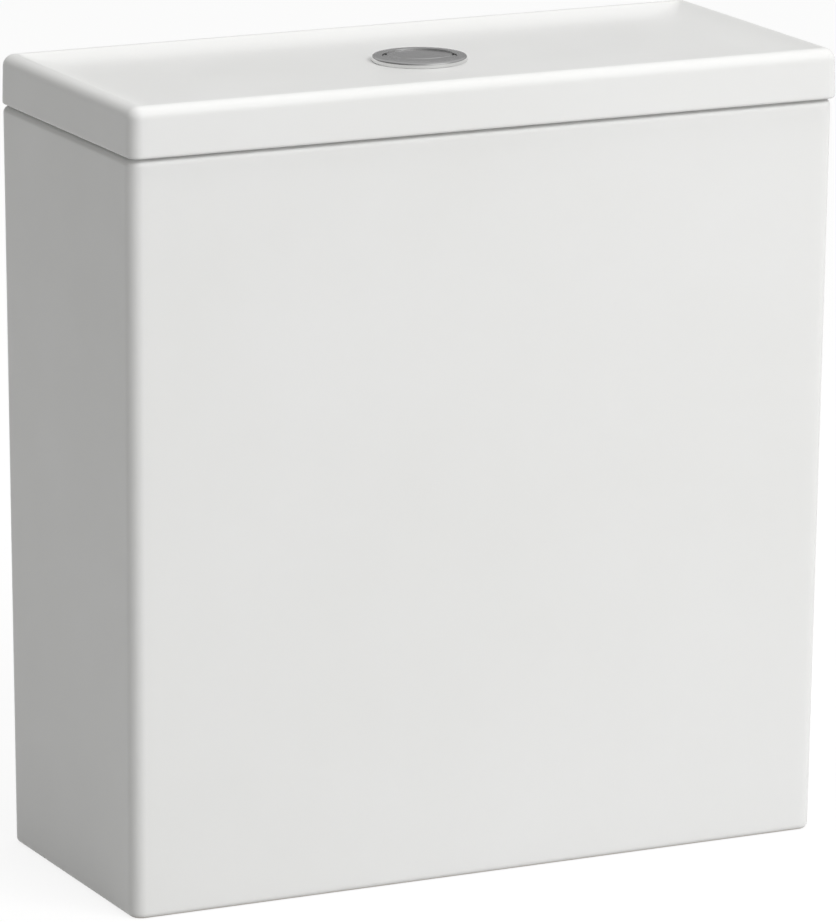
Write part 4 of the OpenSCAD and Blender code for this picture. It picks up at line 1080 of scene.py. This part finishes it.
studs = []
for at in BOLTS:
    studs.append(spindle(stud_line, at, ripple=thread(STUD_PITCH, 0.55, STUD_R, 6.5, 34.4)))
    studs += [moved(slotted_head(turn), (*at, 0.0)) for turn in (0.0, math.pi)]
piece("slotted_pan_bolts", "fixing_bolts", *studs)
piece("cone_washer_pair", "bolt_cone_washers", *[turned(
    [(3.8, 48), (5.8, 48), (5.8, 52.8), (12, FLOOR_TOP), (12, 57), (3.8, 57)],
    [0.4, 0.8, 0.3, 1.2, 1.2, 0.4], at, 64) for at in BOLTS])
piece("bolt_washer_set", "bolt_washers", *[tube_wall(10, 3.9, low, low + 1.5, centre=at, segs=64)
                                           for at in BOLTS for low in (57.0, NUT_TOP)])
piece("hexagon_pan_nuts", "bolt_nuts", *[turned(
    [(3.85, NUT_LOW), (NUT_R, NUT_LOW), (NUT_R, NUT_TOP), (3.85, NUT_TOP)], [0.4, 0.05, 0.05, 0.4], at,
    ripple=joined(thread(STUD_PITCH, -0.3, 3.85, 34.3, 40.3), six_sided(NUT_R, 4.4, NUT_LOW, NUT_TOP)),
    fine=(0.3, NUT_LOW, NUT_TOP)) for at in BOLTS])


# Finishes of the solids that keep their own shape

for part in frame["record"]["subparts"]:
    solid = frame["nodes"][part["node"]]
    solid.data.materials.clear()
    solid.data.materials.append(FINISHES[part["material_slot"]])


# Stage: floor, sky, lamps and camera

def bare_tree(owner):
    """An empty node tree of a material or world, with two kinds of ray: the camera's and a mirror's."""
    owner.use_nodes = True
    tree = owner.node_tree
    tree.nodes.clear()
    ray = add(tree, "LightPath").outputs
    mirrored = reckon(tree, "MAXIMUM", ray["Is Glossy Ray"], ray["Is Transmission Ray"])
    return tree, ray["Is Camera Ray"], mirrored


def make_floor():
    """A pale floor that is white to the camera and to mirrors, and still takes the object's shadow."""
    n = 9
    x, y = np.meshgrid(*[np.linspace(-1, 1, n) * 14000.0] * 2)
    points = np.stack([x, y, np.full_like(x, -0.05)], -1)
    floor = put("floor", (points.reshape(-1, 3), [grid_faces(n, n, False, False)]))
    mat = bpy.data.materials.new("pale_floor")
    tree, seen, mirrored = bare_tree(mat)
    links = {"Vector": add(tree, "TexCoord").outputs["Object"], "Scale": 1.2,
             "Tone A": (0.47, 0.47, 0.47, 1), "Tone B": (0.49, 0.49, 0.49, 1)}
    matt = add(tree, "BsdfDiffuse", {"Color": add(tree, "Group", links, node_tree=DRIFT).outputs["Color"]})
    glow = add(tree, "Emission", {"Color": (1, 1, 1, 1), "Strength": 0.84})
    dim = add(tree, "BsdfDiffuse", {"Color": (0.2, 0.2, 0.2, 1)})
    lit = add(tree, "AddShader", {0: glow.outputs[0], 1: dim.outputs[0]})
    white = reckon(tree, "MAXIMUM", seen, mirrored)
    mix = add(tree, "MixShader", {0: white, 1: matt.outputs[0], 2: lit.outputs[0]})
    add(tree, "OutputMaterial", {"Surface": mix.outputs[0]})
    floor.data.materials.append(mat)


def make_sky():
    """A plain studio sky: soft grey light for matt surfaces, white to the camera, and for mirrors white at
    the horizon, a grey band above it, darker to the left, and a faint window to the front."""
    world = bpy.data.worlds.new("studio")
    tree, seen, mirrored = bare_tree(world)
    view = add(tree, "TexCoord").outputs["Generated"]
    rise = add(tree, "SeparateXYZ", {"Vector": view}).outputs
    ramp = add(tree, "ValToRGB", {"Fac": rise["Z"]})
    stops = ramp.color_ramp.elements
    stops[0].position, stops[0].color = 0.0, (1, 1, 1, 1)
    stops[1].position, stops[1].color = 1.0, (0.45, 0.45, 0.45, 1)
    for place, tone in ((0.03, 0.9), (0.12, 0.24), (0.23, 0.3), (0.42, 0.45), (0.7, 0.45)):
        stops.new(place).color = (tone, tone, tone, 1)
    across = remap(tree, rise["X"], -0.9, -0.1, 0.35, 1.0, "SMOOTHSTEP")
    aim = add(tree, "VectorMath", {0: view, 1: (0.38, -0.715, 0.588)}, operation="DOT_PRODUCT")
    pane = remap(tree, aim.outputs["Value"], 0.84, 0.97, 0.0, 0.4, "SMOOTHSTEP")
    shade = tint(tree, 1.0, ramp.outputs["Color"], across, "MULTIPLY")
    mirror = add(tree, "Background", {"Color": tint(tree, 1.0, shade, pane, "ADD"), "Strength": 1.0})
    plain = add(tree, "Background", {"Color": (1, 1, 1, 1), "Strength": 1.0})
    soft = add(tree, "Background", {"Color": (1.0, 1.0, 0.975, 1), "Strength": 0.325})
    first = add(tree, "MixShader", {0: mirrored, 1: soft.outputs[0], 2: mirror.outputs[0]})
    second = add(tree, "MixShader", {0: seen, 1: first.outputs[0], 2: plain.outputs[0]})
    add(tree, "OutputWorld", {"Surface": second.outputs[0]})
    bpy.context.scene.world = world


def stand(name, data, side, up, back, place):
    """Puts a lamp or camera at a place in metres, with its axes turned to three directions."""
    obj = bpy.data.objects.new(name, data)
    turn = np.eye(4)
    turn[:3] = np.stack([side, up, back, place], 1)
    obj.matrix_world = Matrix(turn.tolist())
    bpy.context.scene.collection.objects.link(obj)
    return obj


def add_lamp(name, towards, distance, wide, high, watts):
    """A soft lamp, wide and high in metres, at a distance from the middle of the object and facing it."""
    data = bpy.data.lights.new(name, "AREA")
    data.shape, data.size, data.size_y, data.energy = "RECTANGLE", wide, high, watts
    back = unit(np.array(towards))
    side = unit(np.cross((0, 0, 1), back))
    lamp = stand(name, data, side, np.cross(back, side), back, np.array((0.0, 0.0, 0.22)) + distance * back)
    lamp.visible_glossy = False


def add_camera(place, azimuth, elevation, roll, lens):
    """A camera at a place, looking along an azimuth and elevation with a small roll."""
    a, e, w = (math.radians(v) for v in (azimuth, elevation, roll))
    back = np.array([math.sin(a) * math.cos(e), -math.cos(a) * math.cos(e), math.sin(e)])
    right = unit(np.cross(-back, (0, 0, 1)))
    down = np.cross(-back, right)
    right, down = right * math.cos(w) + down * math.sin(w), -right * math.sin(w) + down * math.cos(w)
    data = bpy.data.cameras.new("camera")
    data.sensor_fit, data.sensor_height, data.lens = "VERTICAL", 36.0, lens
    data.clip_end = 100.0
    bpy.context.scene.camera = stand("camera", data, right, -down, back, np.array(place) * MM)


make_floor()
make_sky()
add_lamp("key_lamp", (0.30, -0.75, 0.57), 12.0, 9.0, 3.4, 778.0)
add_lamp("top_lamp", (0.02, -0.05, 1.0), 2.6, 1.6, 1.6, 26.0)
add_lamp("fill_lamp", (0.95, -1.3, -0.1), 1.62, 0.8, 0.8, 6.2)
add_camera((-1529.5, -3201.0, 1045.7), -25.5317, 13.4282, -0.0879, 280.6)
bpy.context.scene.view_settings.view_transform = "Standard"
